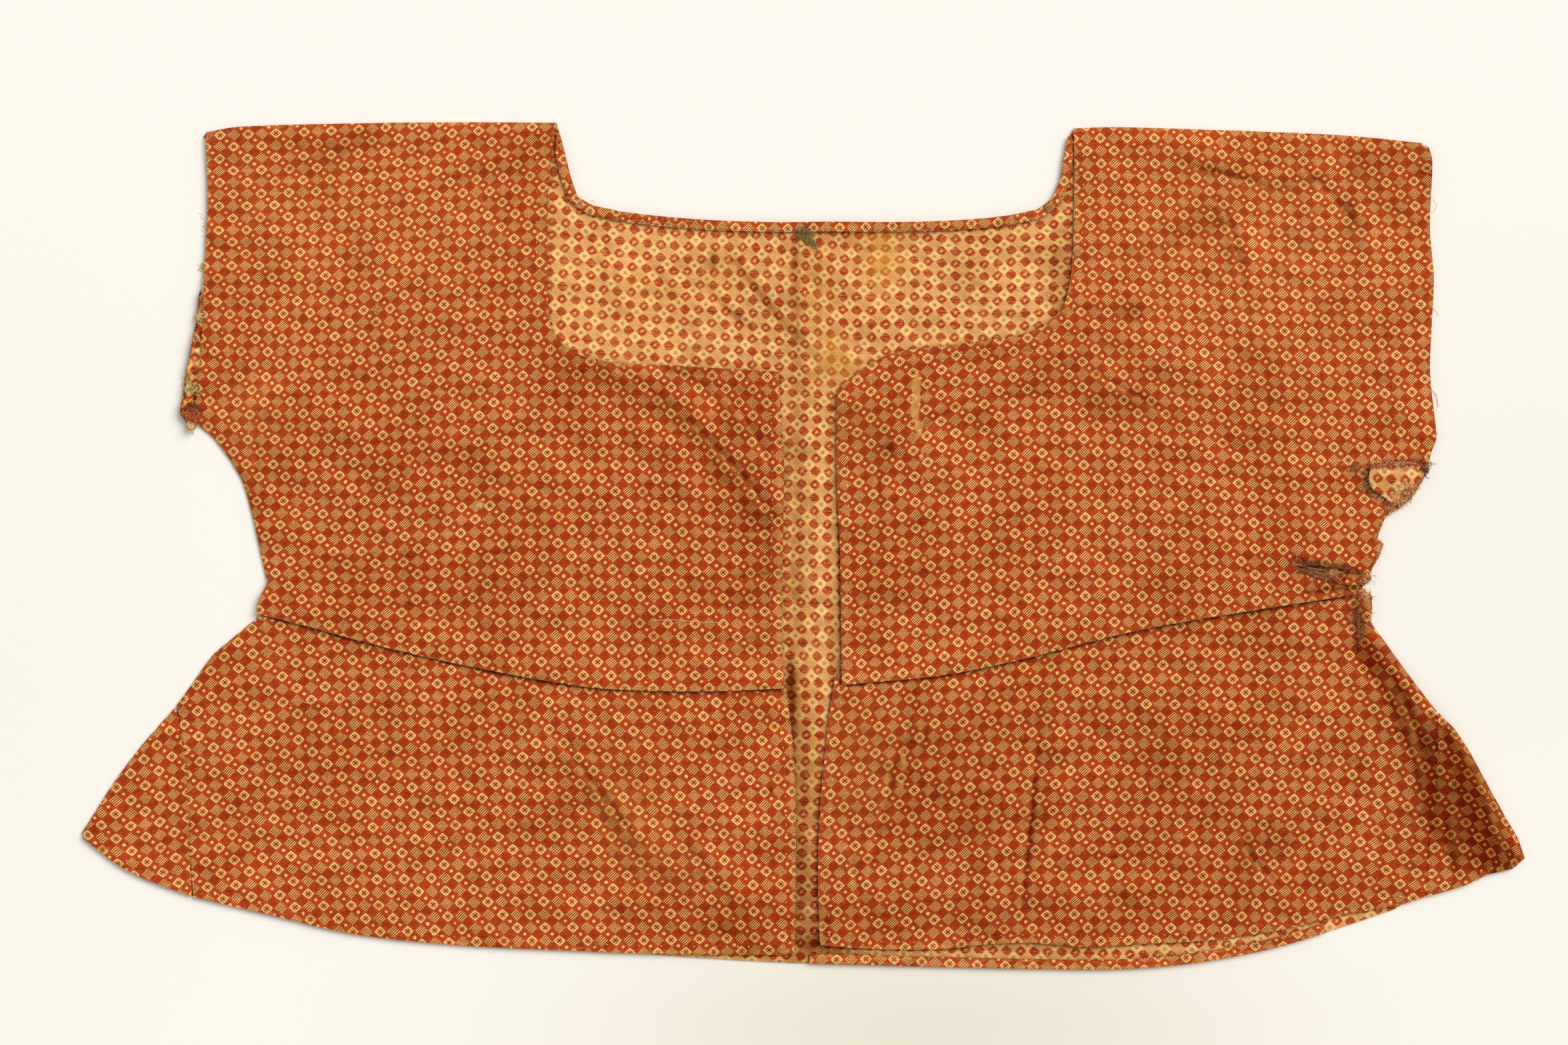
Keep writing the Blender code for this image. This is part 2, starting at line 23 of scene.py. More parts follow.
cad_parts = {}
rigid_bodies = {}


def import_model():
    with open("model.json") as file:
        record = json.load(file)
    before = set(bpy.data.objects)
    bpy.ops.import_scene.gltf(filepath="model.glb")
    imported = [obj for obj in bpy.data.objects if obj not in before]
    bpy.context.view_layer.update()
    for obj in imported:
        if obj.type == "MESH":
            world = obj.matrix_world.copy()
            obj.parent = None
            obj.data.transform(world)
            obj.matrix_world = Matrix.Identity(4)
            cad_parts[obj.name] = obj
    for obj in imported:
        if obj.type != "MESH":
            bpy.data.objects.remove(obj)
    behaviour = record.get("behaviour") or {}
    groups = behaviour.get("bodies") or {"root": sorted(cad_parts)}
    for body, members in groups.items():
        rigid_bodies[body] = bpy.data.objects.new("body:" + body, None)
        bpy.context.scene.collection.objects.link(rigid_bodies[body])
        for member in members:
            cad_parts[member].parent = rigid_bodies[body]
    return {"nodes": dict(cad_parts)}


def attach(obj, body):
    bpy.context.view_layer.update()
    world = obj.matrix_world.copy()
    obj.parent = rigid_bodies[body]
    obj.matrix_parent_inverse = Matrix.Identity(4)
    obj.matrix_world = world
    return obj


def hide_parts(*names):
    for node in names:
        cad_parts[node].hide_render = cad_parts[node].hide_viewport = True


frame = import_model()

LOG = logging.getLogger("gown")
Row = TypeVar("Row")
Array, Socket, Piece, Material = np.ndarray, bpy.types.NodeSocket, bpy.types.Object, bpy.types.Material
MM = 0.001
BODY = "root"

# The photograph's scale, and the pixel that lies over the frame's origin
PIXEL = 0.306 * MM
ORIGIN_PX = (1205.0, 819.0)
PICTURE_PX = (2352.0, 1568.0)

# Light: its share from all round, and where the rest comes from, in degrees
SKY_SHARE = 0.48
LIGHT_HEIGHT = 44
LIGHT_TURN = 40
LIGHT_BREADTH = 40

# Cloth
SHELL = 0.55 * MM
FINE_GRID = 1.6 * MM
HIDDEN_GRID = 6.0 * MM
HEM_GRID = 1.2 * MM
SCRAP_GRID = 0.7 * MM
FLAP_GRID = 0.9 * MM
SMOOTHING = 7
CREASE_PARTS = 24
CORNER = math.radians(38)
SHARP = math.radians(55)
REPEAT = 12.7 * MM
PIN_EASE = 0.02

# Heights: gap under the back, lowest point of a finished piece, of the back's face and of a front's
FLOOR_GAP = 0.12 * MM
LOWEST = 0.2 * FLOOR_GAP
BACK_LOWEST = SHELL + FLOOR_GAP
FRONT_LOWEST = 1.0 * MM
DEEPEST_FOLD = 0.45 * MM
ROLLED_BELOW = 1.7 * MM
RAY_FROM = 0.05
DOWN = Vector((0, 0, -1))

# Pieces whose edges are not rolled under, and how sewing and frays follow the cloth
RAW_EDGED = ("back", "neck_hem", "back_hem", "torn_flap")
STITCH_LIFT = 0.08 * MM
FRAY_LIFT = 0.1 * MM
FRAY_STEP = 0.3 * MM


def at(px: float, py: float) -> Array:
    """Place of a pixel of the photograph in the frame, in metres."""
    return np.array([(px - ORIGIN_PX[0]) * PIXEL, (ORIGIN_PX[1] - py) * PIXEL])


class Side(Enum):
    """Which face of the printed cloth shows."""

    RIGHT = "right"
    WRONG = "wrong"


class Yarn(Enum):
    """Sewing and waste threads."""

    CREAM = "cream"
    BROWN = "brown"
    OLIVE = "olive"
    RED = "red"


@dataclass(frozen=True)
class Finish:
    """A plain finish.

    Args:
        red, green, blue: display colour, 0 to 255.
        roughness: of the Principled shader.
    """

    red: float
    green: float
    blue: float
    roughness: float = 0.9

    def linear(self) -> tuple[float, float, float, float]:
        """The colour as a shader takes it."""
        shares = (value / 255 for value in (self.red, self.green, self.blue))
        return (*(s / 12.92 if s <= 0.04045 else ((s + 0.055) / 1.055) ** 2.4 for s in shares), 1.0)


class Pin(NamedTuple):
    """A cream ring of the print, read off the photograph, and its row and column in repeats."""

    px: float
    py: float
    u: float
    v: float


class Crease(NamedTuple):
    """A crease from a start past a middle to an end, in pixels; heights and widths in mm."""

    x0: float
    y0: float
    x1: float
    y1: float
    x2: float
    y2: float
    rise: float
    reach: float
    dark: float


class Stain(NamedTuple):
    """A soft patch: centre and half sizes in pixels, turn in degrees, strength."""

    px: float
    py: float
    wide: float
    high: float
    turn: float
    strength: float


def rows(kind: type[Row], *values: Sequence[object]) -> list[Row]:
    """Rows of one kind, each from its values in the order of its fields."""
    return [kind(*row) for row in values]


# Print positions, panel by panel
BODICE_LEFT_PINS = rows(
    Pin,
    (500.3, 827.9, 0, 0), (415.8, 822.6, -2, 0), (711.6, 817.9, 5, 0), (919.7, 814.7, 10, 0), (1167.4, 822.0, 16, 0),
    (438.3, 563.9, -2, 7), (518.6, 560.6, 0, 7), (722.5, 547.3, 5, 7), (399.2, 565.9, -3, 7), (314.6, 602.0, -5, 6),
    (384.9, 751.6, -3, 2), (665.0, 974.6, 4, -4), (917.0, 1013.7, 10, -5), (1168.4, 1012.7, 16, -5),
    (945.4, 600.0, 10.5, 5.5), (925.2, 658.9, 10, 4), (744.8, 527.4, 5.5, 7.5), (329.7, 202.6, -5, 17),
    (578.5, 191.0, 1, 17), (777.4, 209.9, 6, 16), (787.4, 450.3, 6.5, 9.5), (545.3, 465.3, 0.5, 9.5),
    (475.7, 251.4, -1.5, 15.5), (631.5, 349.2, 2.5, 12.5), (321.5, 526.6, -5, 8),
)
BODICE_RIGHT_PINS = rows(
    Pin,
    (1269.5, 783.9, 0, 0), (1271.2, 1017.0, 0, -6), (1480.1, 764.0, 5, 0), (1500.0, 978.9, 5.5, -5.5),
    (1264.6, 632.6, 0, 4), (1389.6, 615.0, 3, 4), (1307.7, 548.1, 1, 6), (1541.5, 507.3, 6.5, 6.5),
    (1685.7, 600.1, 10, 4), (1674.1, 301.7, 10, 12), (1692.4, 913.5, 10, -4), (1935.3, 611.4, 16, 4),
    (2139.2, 606.4, 21, 4), (1946.9, 883.3, 16, -3), (2028.1, 804.7, 18, -1), (2046.4, 749.0, 18.5, 0.5),
    (2135.9, 531.6, 21, 6), (2119.3, 234.8, 21, 14), (1958.5, 349.8, 17, 11), (1771.8, 208.2, 12.5, 14.5),
    (1953.5, 204.9, 17, 15),
)
PEPLUM_LEFT_PINS = rows(
    Pin,
    (467.2, 1049.9, 0, 0), (296.4, 1066.5, -4, 0), (485.4, 1359.4, 0, -8), (311.3, 1331.2, -4, -7),
    (731.8, 1353.4, 6, -8), (608.8, 1358.4, 3, -8), (1150.8, 1347.1, 16, -8), (1143.2, 1110.9, 16, -2),
    (930.3, 1117.2, 11, -2), (941.9, 1352.7, 11, -8), (1157.5, 1050.8, 16.5, -0.5), (676.6, 1005.4, 5, 1),
    (822.5, 1053.5, 8.5, -0.5), (718.5, 1041.7, 6, 0), (937.6, 1235.3, 11, -5), (1147.5, 1228.3, 16, -5),
    (470.5, 1167.0, 0, -3), (721.5, 1158.4, 6, -3),
)
PEPLUM_RIGHT_PINS = rows(
    Pin,
    (1262.9, 1033.6, 0, 0), (1679.1, 1018.0, 10, 0), (1251.6, 1113.3, 0, -2), (1243.3, 1231.7, 0, -5),
    (1253.3, 1408.4, 0.5, -9.5), (1525.2, 1118.9, 6.5, -2.5), (1512.6, 1238.3, 6.5, -5.5),
    (1506.3, 1394.2, 6.5, -9.5), (1737.4, 1115.6, 11.5, -2.5), (1714.9, 1391.8, 11.5, -9.5),
    (1766.0, 1273.9, 12.5, -6.5), (1948.4, 1120.3, 16.5, -2.5), (1925.8, 1356.8, 16.5, -8.5),
    (2073.4, 1123.6, 19.5, -2.5), (2055.2, 1321.9, 19.5, -7.5), (2059.5, 1063.3, 19, -1), (1930.8, 1060.0, 16, -1),
    (2134.1, 1192.6, 21, -4), (2104.9, 1288.8, 20.5, -6.5),
)
GORE_LEFT_PINS = rows(
    Pin,
    (254.8, 1096.4, 0, 0), (257.7, 1135.0, 0, -1), (260.6, 1210.6, 0, -3), (263.6, 1287.1, 0, -5),
    (268.2, 1324.6, 0, -6), (238.2, 1156.6, -0.5, -1.5), (218.1, 1178.6, -1, -2), (220.6, 1293.4, -1, -5),
    (196.7, 1200.6, -1.5, -2.5), (173.5, 1221.7, -2, -3), (153.6, 1276.2, -2.5, -4.5), (131.4, 1253.2, -3, -4),
)
GORE_RIGHT_PINS = rows(
    Pin,
    (2162.9, 1081.5, 0, 0), (2148.0, 1311.0, 0, -6), (2157.3, 1195.9, 0, -3), (2181.2, 1137.9, 0.5, -1.5),
    (2167.2, 1329.6, 0.5, -6.5), (2201.1, 1195.9, 1, -3), (2189.5, 1312.0, 1, -6), (2221.0, 1184.3, 1.5, -2.5),
    (2214.3, 1293.7, 1.5, -5.5), (2239.9, 1209.2, 2, -3), (2236.6, 1279.5, 2, -5), (2271.7, 1295.4, 3, -5),
)
BACK_PINS = rows(
    Pin,
    (1379.6, 514.9, 0, 0), (1548.1, 479.1, 4, 1), (1591.2, 439.3, 5, 2), (1506.7, 402.8, 3, 3),
    (1362.4, 414.4, -0.5, 2.5), (1339.2, 397.8, -1, 3), (1297.7, 363.0, -2, 4), (1274.5, 455.2, -2.5, 1.5),
    (1339.2, 517.2, -1, 0), (1216.1, 618.7, -4, -3), (1212.2, 736.8, -4, -6), (1209.7, 855.2, -4, -9),
    (1230.1, 835.5, -3.5, -8.5), (1189.8, 834.2, -4.5, -8.5), (1219.8, 1093.9, -4, -15), (1214.4, 1251.8, -4, -19),
    (1211.2, 1406.4, -4, -23), (1179.1, 579.1, -5, -2), (1163.0, 363.5, -5.5, 3.5), (1022.1, 378.8, -9, 3),
    (954.8, 467.5, -10.5, 0.5), (896.6, 404.8, -12, 2), (1013.0, 528.8, -9, -1), (1402.0, 384.5, 0.5, 3.5),
    (1486.5, 386.6, 2.5, 3.5), (1445, 423, 1.5, 2.5), (1402.0, 420.6, 0.5, 2.5), (1486.5, 423.9, 2.5, 2.5),
)
NECK_HEM_PINS = rows(
    Pin,
    (1103.3, 342.0, 0, 0), (1143.1, 342.7, 1, 0), (1181.3, 342.7, 2, 0), (1023.7, 339.0, -2, 0),
    (1103.3, 303.0, 0, 1), (1181.3, 303.7, 2, 1), (1023.7, 300.0, -2, 1), (1536.5, 332.2, 11, 0),
    (1536.5, 293.0, 11, 1),
)
BACK_HEM_PINS = rows(
    Pin,
    (1254.9, 1439.9, 0, 0), (1299.0, 1438.9, 1, 0), (1341.1, 1438.9, 2, 0), (1382.6, 1443.2, 3, 0),
    (1254.9, 1401.0, 0, 1), (1382.6, 1404.0, 3, 1), (1925.0, 1420.0, 16, 1),
)
FLAP_PINS = rows(Pin, (2075, 708, 0, 0), (2117, 711, 1, 0), (2077, 749, 0, -1), (2119, 752, 1, -1))

# Creases that show, in pixels. Each is a soft ridge with painted shade on its left and a painted highlight on its
# top.
FRONT_CREASES = rows(
    Crease,
    (864, 506, 980, 592, 1012, 613, 0.7, 3.0, 0.55), (1012, 613, 1105, 706, 1168, 790, 0.8, 3.2, 0.75),
    (1058, 564, 1125, 640, 1158, 717, 0.8, 3.0, 0.65), (905, 520, 1010, 560, 1066, 590, 0.5, 3.5, 0.35),
    (720, 250, 735, 320, 800, 385, 0.5, 3.0, 0.35), (640, 560, 700, 610, 790, 650, 0.4, 4.0, 0.15),
    (380, 660, 384, 690, 376, 730, 0.6, 2.5, 0.45), (430, 200, 470, 330, 445, 470, 0.4, 4.0, 0.2),
    (520, 700, 600, 760, 700, 770, 0.4, 4.5, 0.15), (1030, 780, 1090, 800, 1168, 790, 0.5, 3.0, 0.45),
    (1040, 870, 1110, 868, 1165, 862, 0.5, 3.0, 0.4), (1020, 955, 1100, 962, 1160, 955, 0.6, 3.0, 0.5),
    (700, 918, 745, 925, 760, 945, 0.4, 3.0, 0.3), (660, 920, 700, 922, 740, 926, 0.4, 3.0, 0.3),
    (700, 830, 760, 830, 780, 815, 0.3, 3.0, 0.25), (453, 400, 450, 470, 448, 520, 0.5, 3.0, 0.3),
    (1770, 245, 1830, 262, 1935, 290, 0.9, 3.2, 0.75), (1810, 292, 1845, 340, 1866, 470, 0.8, 3.0, 0.7),
    (1940, 240, 2000, 300, 2030, 340, 0.8, 3.0, 0.7), (2028, 325, 2036, 360, 2032, 400, 0.6, 2.6, 0.5),
    (2080, 315, 2100, 320, 2118, 338, 0.6, 2.5, 0.6), (1900, 268, 1935, 286, 1985, 330, 0.6, 3.0, 0.4),
    (1940, 205, 2010, 225, 2080, 300, 0.5, 4.0, 0.25), (1630, 552, 1690, 588, 1750, 622, 0.7, 3.0, 0.75),
    (1318, 704, 1316, 730, 1320, 762, 0.6, 2.4, 0.6), (1277, 905, 1300, 900, 1332, 900, 0.6, 2.4, 0.6),
    (1375, 652, 1420, 620, 1470, 600, 0.5, 3.5, 0.4), (1480, 552, 1515, 535, 1550, 528, 0.5, 3.0, 0.45),
    (1560, 900, 1650, 905, 1720, 900, 0.4, 3.5, 0.25), (1895, 560, 1900, 600, 1890, 650, 0.4, 3.0, 0.2),
    (1945, 845, 1990, 850, 2040, 862, 0.6, 2.6, 0.5), (1960, 892, 2010, 886, 2045, 890, 0.7, 2.4, 0.7),
    (820, 1090, 900, 1190, 960, 1270, 1.0, 3.4, 0.75), (905, 1240, 950, 1290, 1010, 1320, 0.6, 3.0, 0.4),
    (1030, 1270, 1070, 1320, 1085, 1345, 0.7, 3.0, 0.65), (1050, 1390, 1090, 1405, 1130, 1440, 0.5, 3.0, 0.35),
    (840, 1095, 860, 1120, 905, 1140, 0.5, 3.0, 0.3), (640, 1170, 660, 1200, 690, 1230, 0.4, 3.0, 0.3),
    (560, 1320, 590, 1350, 620, 1372, 0.4, 3.0, 0.3), (590, 1230, 605, 1290, 600, 1330, 0.4, 3.0, 0.25),
    (1556, 1100, 1545, 1230, 1530, 1365, 0.8, 2.8, 0.7), (1348, 1110, 1330, 1190, 1305, 1300, 0.6, 3.5, 0.45),
    (1270, 1230, 1285, 1330, 1305, 1390, 0.6, 3.0, 0.45), (1860, 1245, 1880, 1290, 1920, 1330, 0.8, 2.8, 0.75),
    (1350, 1050, 1385, 1090, 1372, 1140, 0.5, 3.0, 0.35), (1480, 1250, 1500, 1310, 1520, 1350, 0.5, 3.0, 0.3),
    (2080, 1011, 2120, 1090, 2136, 1169, 1.2, 3.6, 0.9), (2136, 1169, 2134, 1200, 2120, 1250, 0.6, 3.0, 0.4),
    (2250, 1288, 2216, 1180, 2168, 1094, 0.9, 4.6, 0.9), (2186, 1306, 2179, 1268, 2175, 1230, 0.6, 3.4, 0.6),
    (2050, 1200, 2080, 1230, 2095, 1290, 0.5, 3.0, 0.35), (1700, 1100, 1780, 1106, 1830, 1110, 0.4, 3.0, 0.35),
)
# The back's creases, likewise with painted shade and painted highlights
BACK_CREASES = rows(
    Crease,
    (1092, 383, 1130, 434, 1182, 500, 1.0, 5.0, 0.55), (1060, 431, 1090, 468, 1131, 498, 0.9, 4.4, 0.5),
    (1189, 356, 1192, 420, 1193, 560, 0.6, 4.0, 0.35), (1195, 562, 1190, 640, 1193, 760, 0.5, 3.6, 0.3),
    (1236, 340, 1240, 450, 1236, 560, 0.5, 2.2, 0.3), (893, 340, 915, 400, 925, 460, 0.7, 3.6, 0.4),
    (972, 399, 1000, 440, 1037, 488, 0.6, 4.6, 0.35), (1020, 460, 1045, 520, 1060, 540, 0.6, 3.4, 0.3),
    (1064, 376, 1067, 390, 1069, 408, 0.6, 3.0, 0.5), (1040, 400, 1060, 440, 1100, 490, 0.5, 4.4, 0.2),
    (1190, 760, 1186, 860, 1192, 960, 0.4, 3.4, 0.4), (1450, 470, 1462, 485, 1466, 500, 0.5, 2.0, 0.6),
)

SOIL = rows(
    Stain,
    (1336, 671, 9, 9, 0, 0.9), (1290, 640, 60, 70, 20, 0.35), (1110, 780, 70, 60, 20, 0.25),
    (1120, 880, 60, 30, 0, 0.25), (1145, 970, 40, 30, 0, 0.25), (860, 560, 90, 30, 40, 0.25),
    (1080, 650, 70, 60, 45, 0.28), (760, 960, 60, 20, 10, 0.25), (1470, 500, 70, 30, 0, 0.3),
    (1560, 560, 60, 30, 15, 0.35), (1700, 470, 20, 14, 0, 0.5), (1690, 600, 60, 30, 25, 0.4),
    (1800, 340, 90, 25, 25, 0.35), (2060, 240, 70, 40, 10, 0.35), (2090, 495, 30, 25, 0, 0.3),
    (1400, 1120, 60, 70, 0, 0.22), (1360, 1200, 70, 90, 10, 0.2), (1290, 1110, 40, 60, 0, 0.25),
    (1450, 1250, 50, 50, 30, 0.22), (1000, 1300, 60, 40, 30, 0.3), (860, 1200, 80, 50, 45, 0.3),
    (1080, 1390, 70, 30, 0, 0.35), (2130, 1100, 30, 90, 12, 0.35), (1960, 860, 40, 20, 0, 0.45),
    (1870, 1290, 30, 60, -30, 0.3), (430, 690, 40, 60, 0, 0.2), (500, 215, 120, 25, 0, 0.25),
    (800, 220, 90, 30, 0, 0.25), (1040, 560, 60, 30, 20, 0.4), (1345, 890, 60, 30, 0, 0.2),
)
# Where the back is seen between the fronts and below them, in pixels
BACK_SEEN = [
    (815, 185), (868, 185), (880, 295), (1560, 315), (1580, 185), (1625, 185), (1628, 470), (1560, 512), (1330, 556),
    (1272, 596), (1280, 1040), (1256, 1060), (1246, 1395), (1800, 1395), (2130, 1330), (2140, 1400), (1850, 1475),
    (1170, 1475), (1164, 1060), (1160, 575), (815, 550),
]
# Soiling on the back, together with painted shade along its folds, beside the fronts' edges and along the hem
BACK_SOIL_AND_SHADE = rows(
    Stain,
    (1137, 441, 74, 9, -52, 0.32), (1096, 465, 52, 8, -43, 0.28), (1150, 400, 60, 10, -50, 0.15),
    (1191, 400, 50, 8, 90, 0.32), (1192, 480, 70, 9, 90, 0.28), (1067, 392, 24, 8, 85, 0.5),
    (1005, 443, 60, 10, -55, 0.25), (905, 400, 60, 9, -70, 0.25), (940, 470, 40, 12, -40, 0.12),
    (1192, 640, 14, 120, 0, 0.35), (1195, 880, 25, 160, 0, 0.35), (1255, 900, 12, 260, 0, 0.55),
    (1200, 1230, 30, 190, 0, 0.75), (1590, 440, 18, 90, 0, 0.5), (1245, 1420, 40, 18, 0, 0.9),
    (1455, 400, 40, 40, 0, 0.2), (1225, 350, 30, 20, 0, 0.4), (1188, 1040, 10, 50, 0, 0.8),
    (1450, 1422, 200, 8, 0, 0.6), (1290, 360, 60, 12, 0, 0.3), (1400, 480, 60, 20, 10, 0.2),
)
# Painted shade on the back: in its folds, beside the fronts' edges and along its hem
BACK_PAINTED_SHADE = rows(
    Stain,
    (1122, 420, 44, 5, -55, 0.32), (1166, 478, 30, 5, -52, 0.45), (1112, 484, 34, 5, -42, 0.38),
    (1068, 388, 16, 4, 85, 0.45), (1191, 385, 36, 4, 90, 0.4), (1194, 500, 50, 5, 90, 0.32),
    (1188, 1030, 5, 60, 0, 0.8), (1190, 1300, 8, 120, 0, 0.4), (1236, 1300, 6, 120, 0, 0.5),
    (1210, 1408, 30, 12, 0, 0.5), (1215, 552, 110, 26, 0, 0.22), (1210, 690, 30, 90, 0, 0.14),
    (1212, 1360, 40, 80, 0, 0.30), (1300, 1446, 330, 15, -1, 0.26), (1600, 1430, 160, 22, -8, 0.12),
)
# Painted shade on the fronts: in folds, over the right gore, along the hems and in broad patches
FRONT_PAINTED_SHADE = rows(
    Stain,
    (2150, 1195, 70, 5, -86, 0.55), (2205, 1255, 70, 60, -68, 0.30), (2250, 1292, 26, 26, 0, 0.35),
    (1080, 1442, 150, 16, 3, 0.34), (1156, 1187, 4, 5, 0, 1.3), (1672, 1284, 11, 2.5, 0, 0.7),
    (852, 1160, 7, 4, -30, 0.6), (2080, 1000, 60, 22, -62, 0.25), (1360, 1372, 100, 22, 0, 0.12),
    (1110, 1375, 110, 45, 0, 0.16), (1560, 1378, 330, 40, 0, 0.24), (2000, 1340, 120, 40, 15, 0.16),
    (1900, 945, 240, 55, 8, 0.20), (490, 950, 130, 90, -10, 0.14), (570, 790, 90, 90, 0, 0.10),
    (610, 490, 80, 110, 0, 0.14), (790, 520, 130, 60, 0, 0.10), (1880, 580, 110, 60, 0, 0.14),
    (1690, 250, 60, 40, 0, 0.16), (1615, 1100, 80, 60, 0, 0.14), (1800, 1139, 50, 50, 0, 0.10),
    (2238, 1290, 34, 40, 0, 0.45), (2155, 250, 30, 40, 0, 0.12), (1700, 890, 90, 50, 0, 0.10),
    (600, 700, 260, 50, -15, 0.18), (1330, 760, 60, 140, 0, 0.14), (1380, 1215, 130, 90, 0, 0.18),
    (1750, 1220, 300, 110, 5, 0.20), (460, 1160, 130, 60, 40, 0.12), (980, 680, 150, 70, -35, 0.12),
    (1750, 700, 60, 160, 10, 0.08), (760, 880, 200, 40, -5, 0.10), (1700, 620, 200, 50, -20, 0.08),
    (1850, 1250, 60, 120, 20, 0.10), (350, 600, 40, 160, -8, 0.16), (1700, 1080, 160, 40, 0, 0.14),
    (900, 1200, 120, 60, -50, 0.14), (2108, 1090, 90, 17, -70, 1.1), (2213, 1195, 112, 19, -68, 1.25),
    (2181, 1267, 50, 9, -80, 0.8), (2196, 1200, 95, 55, -68, 0.45), (2040, 938, 52, 9, -84, 1.1),
    (2060, 1000, 44, 14, -62, 0.9), (2140, 1190, 60, 18, -85, 0.7), (2046, 868, 24, 6, 5, 0.5),
    (2010, 884, 40, 6, 6, 0.5), (1976, 852, 36, 7, -8, 0.5), (2108, 748, 40, 9, 40, 0.4), (2128, 690, 16, 8, 0, 0.6),
    (2050, 708, 14, 5, 0, 0.5), (2140, 240, 8, 40, 0, 0.3), (1130, 770, 40, 12, -60, 0.35),
    (1996, 853, 46, 3.6, -10, 0.9), (1950, 842, 10, 8, -30, 0.5), (1830, 262, 60, 7, -10, 0.3),
    (2024, 330, 8, 40, 0, 0.3), (940, 1250, 60, 9, -52, 0.35), (1546, 1250, 90, 7, 84, 0.3),
    (1240, 1395, 8, 30, 0, 0.5), (1152, 800, 5, 180, 0, 0.25),
)
# Painted shade on the floor, which is darker in places
FLOOR_PAINTED_SHADE = rows(
    Stain,
    (1400, 1545, 520, 150, 0, 1.0), (2300, 860, 400, 420, 0, 0.26), (0, 1050, 260, 600, 0, 0.17),
)
BLEACH = rows(
    Stain,
    (1374, 598, 7.5, 46, -2, 1.15), (1380, 645, 4.5, 14, 0, 0.7), (1383, 683, 4, 8, 0, 0.75),
    (1384, 721, 4, 7, 0, 0.72), (1385, 763, 4, 7, 0, 0.72), (1386, 801, 4, 6, 0, 0.7), (1387, 839, 4, 6, 0, 0.7),
    (1388, 878, 4, 6, 0, 0.7), (1388, 918, 4, 6, 0, 0.66), (1389, 957, 4, 6, 0, 0.62), (1385, 800, 4, 170, 0, 0.22),
    (1356, 1140, 7, 26, 12, 0.72), (1350, 1176, 12, 12, 0, 0.62), (1366, 1100, 5, 16, 0, 0.42),
    (715, 935, 40, 8, 10, 0.40), (1670, 700, 30, 5, 0, 0.36), (1000, 1010, 60, 6, 0, 0.38),
    (970, 1360, 20, 8, 0, 0.45), (1090, 1380, 22, 10, 0, 0.45), (720, 757, 6, 9, 0, 0.9), (1030, 932, 55, 3, 0, 0.5),
)
# Painted highlights: places painted lighter, as if a little raised and catching the light
FRONT_PAINTED_LIGHT = rows(
    Stain,
    (560, 340, 300, 200, 0, 0.30), (1850, 390, 280, 230, 0, 0.34), (1180, 1010, 40, 60, 0, 0.2),
    (375, 620, 50, 60, 0, 0.45), (940, 1205, 60, 80, 0, 0.40), (1290, 1140, 45, 90, 0, 0.42),
    (1290, 640, 40, 90, 0, 0.25), (990, 1290, 60, 50, 0, 0.30),
)
BACK_PAINTED_LIGHT = rows(Stain, (950, 450, 120, 100, 0, 0.45), (1200, 760, 40, 200, 0, 0.15))
YELLOW = rows(
    Stain,
    (1325, 385, 34, 44, 0, 0.9), (1245, 530, 26, 34, 0, 0.95), (1340, 330, 30, 20, 0, 0.5),
    (1280, 560, 50, 24, 0, 0.5), (1230, 420, 20, 60, 0, 0.3), (1080, 400, 30, 30, 0, 0.25),
)


class Tangle(NamedTuple):
    """A heap of loose threads: where, half sizes in pixels, turn; lengths in mm."""

    name: str
    px: float
    py: float
    wide: float
    high: float
    turn: float
    stray: float
    count: int
    length: float
    pile: float
    thick: float
    yarn: Yarn
    seed: int


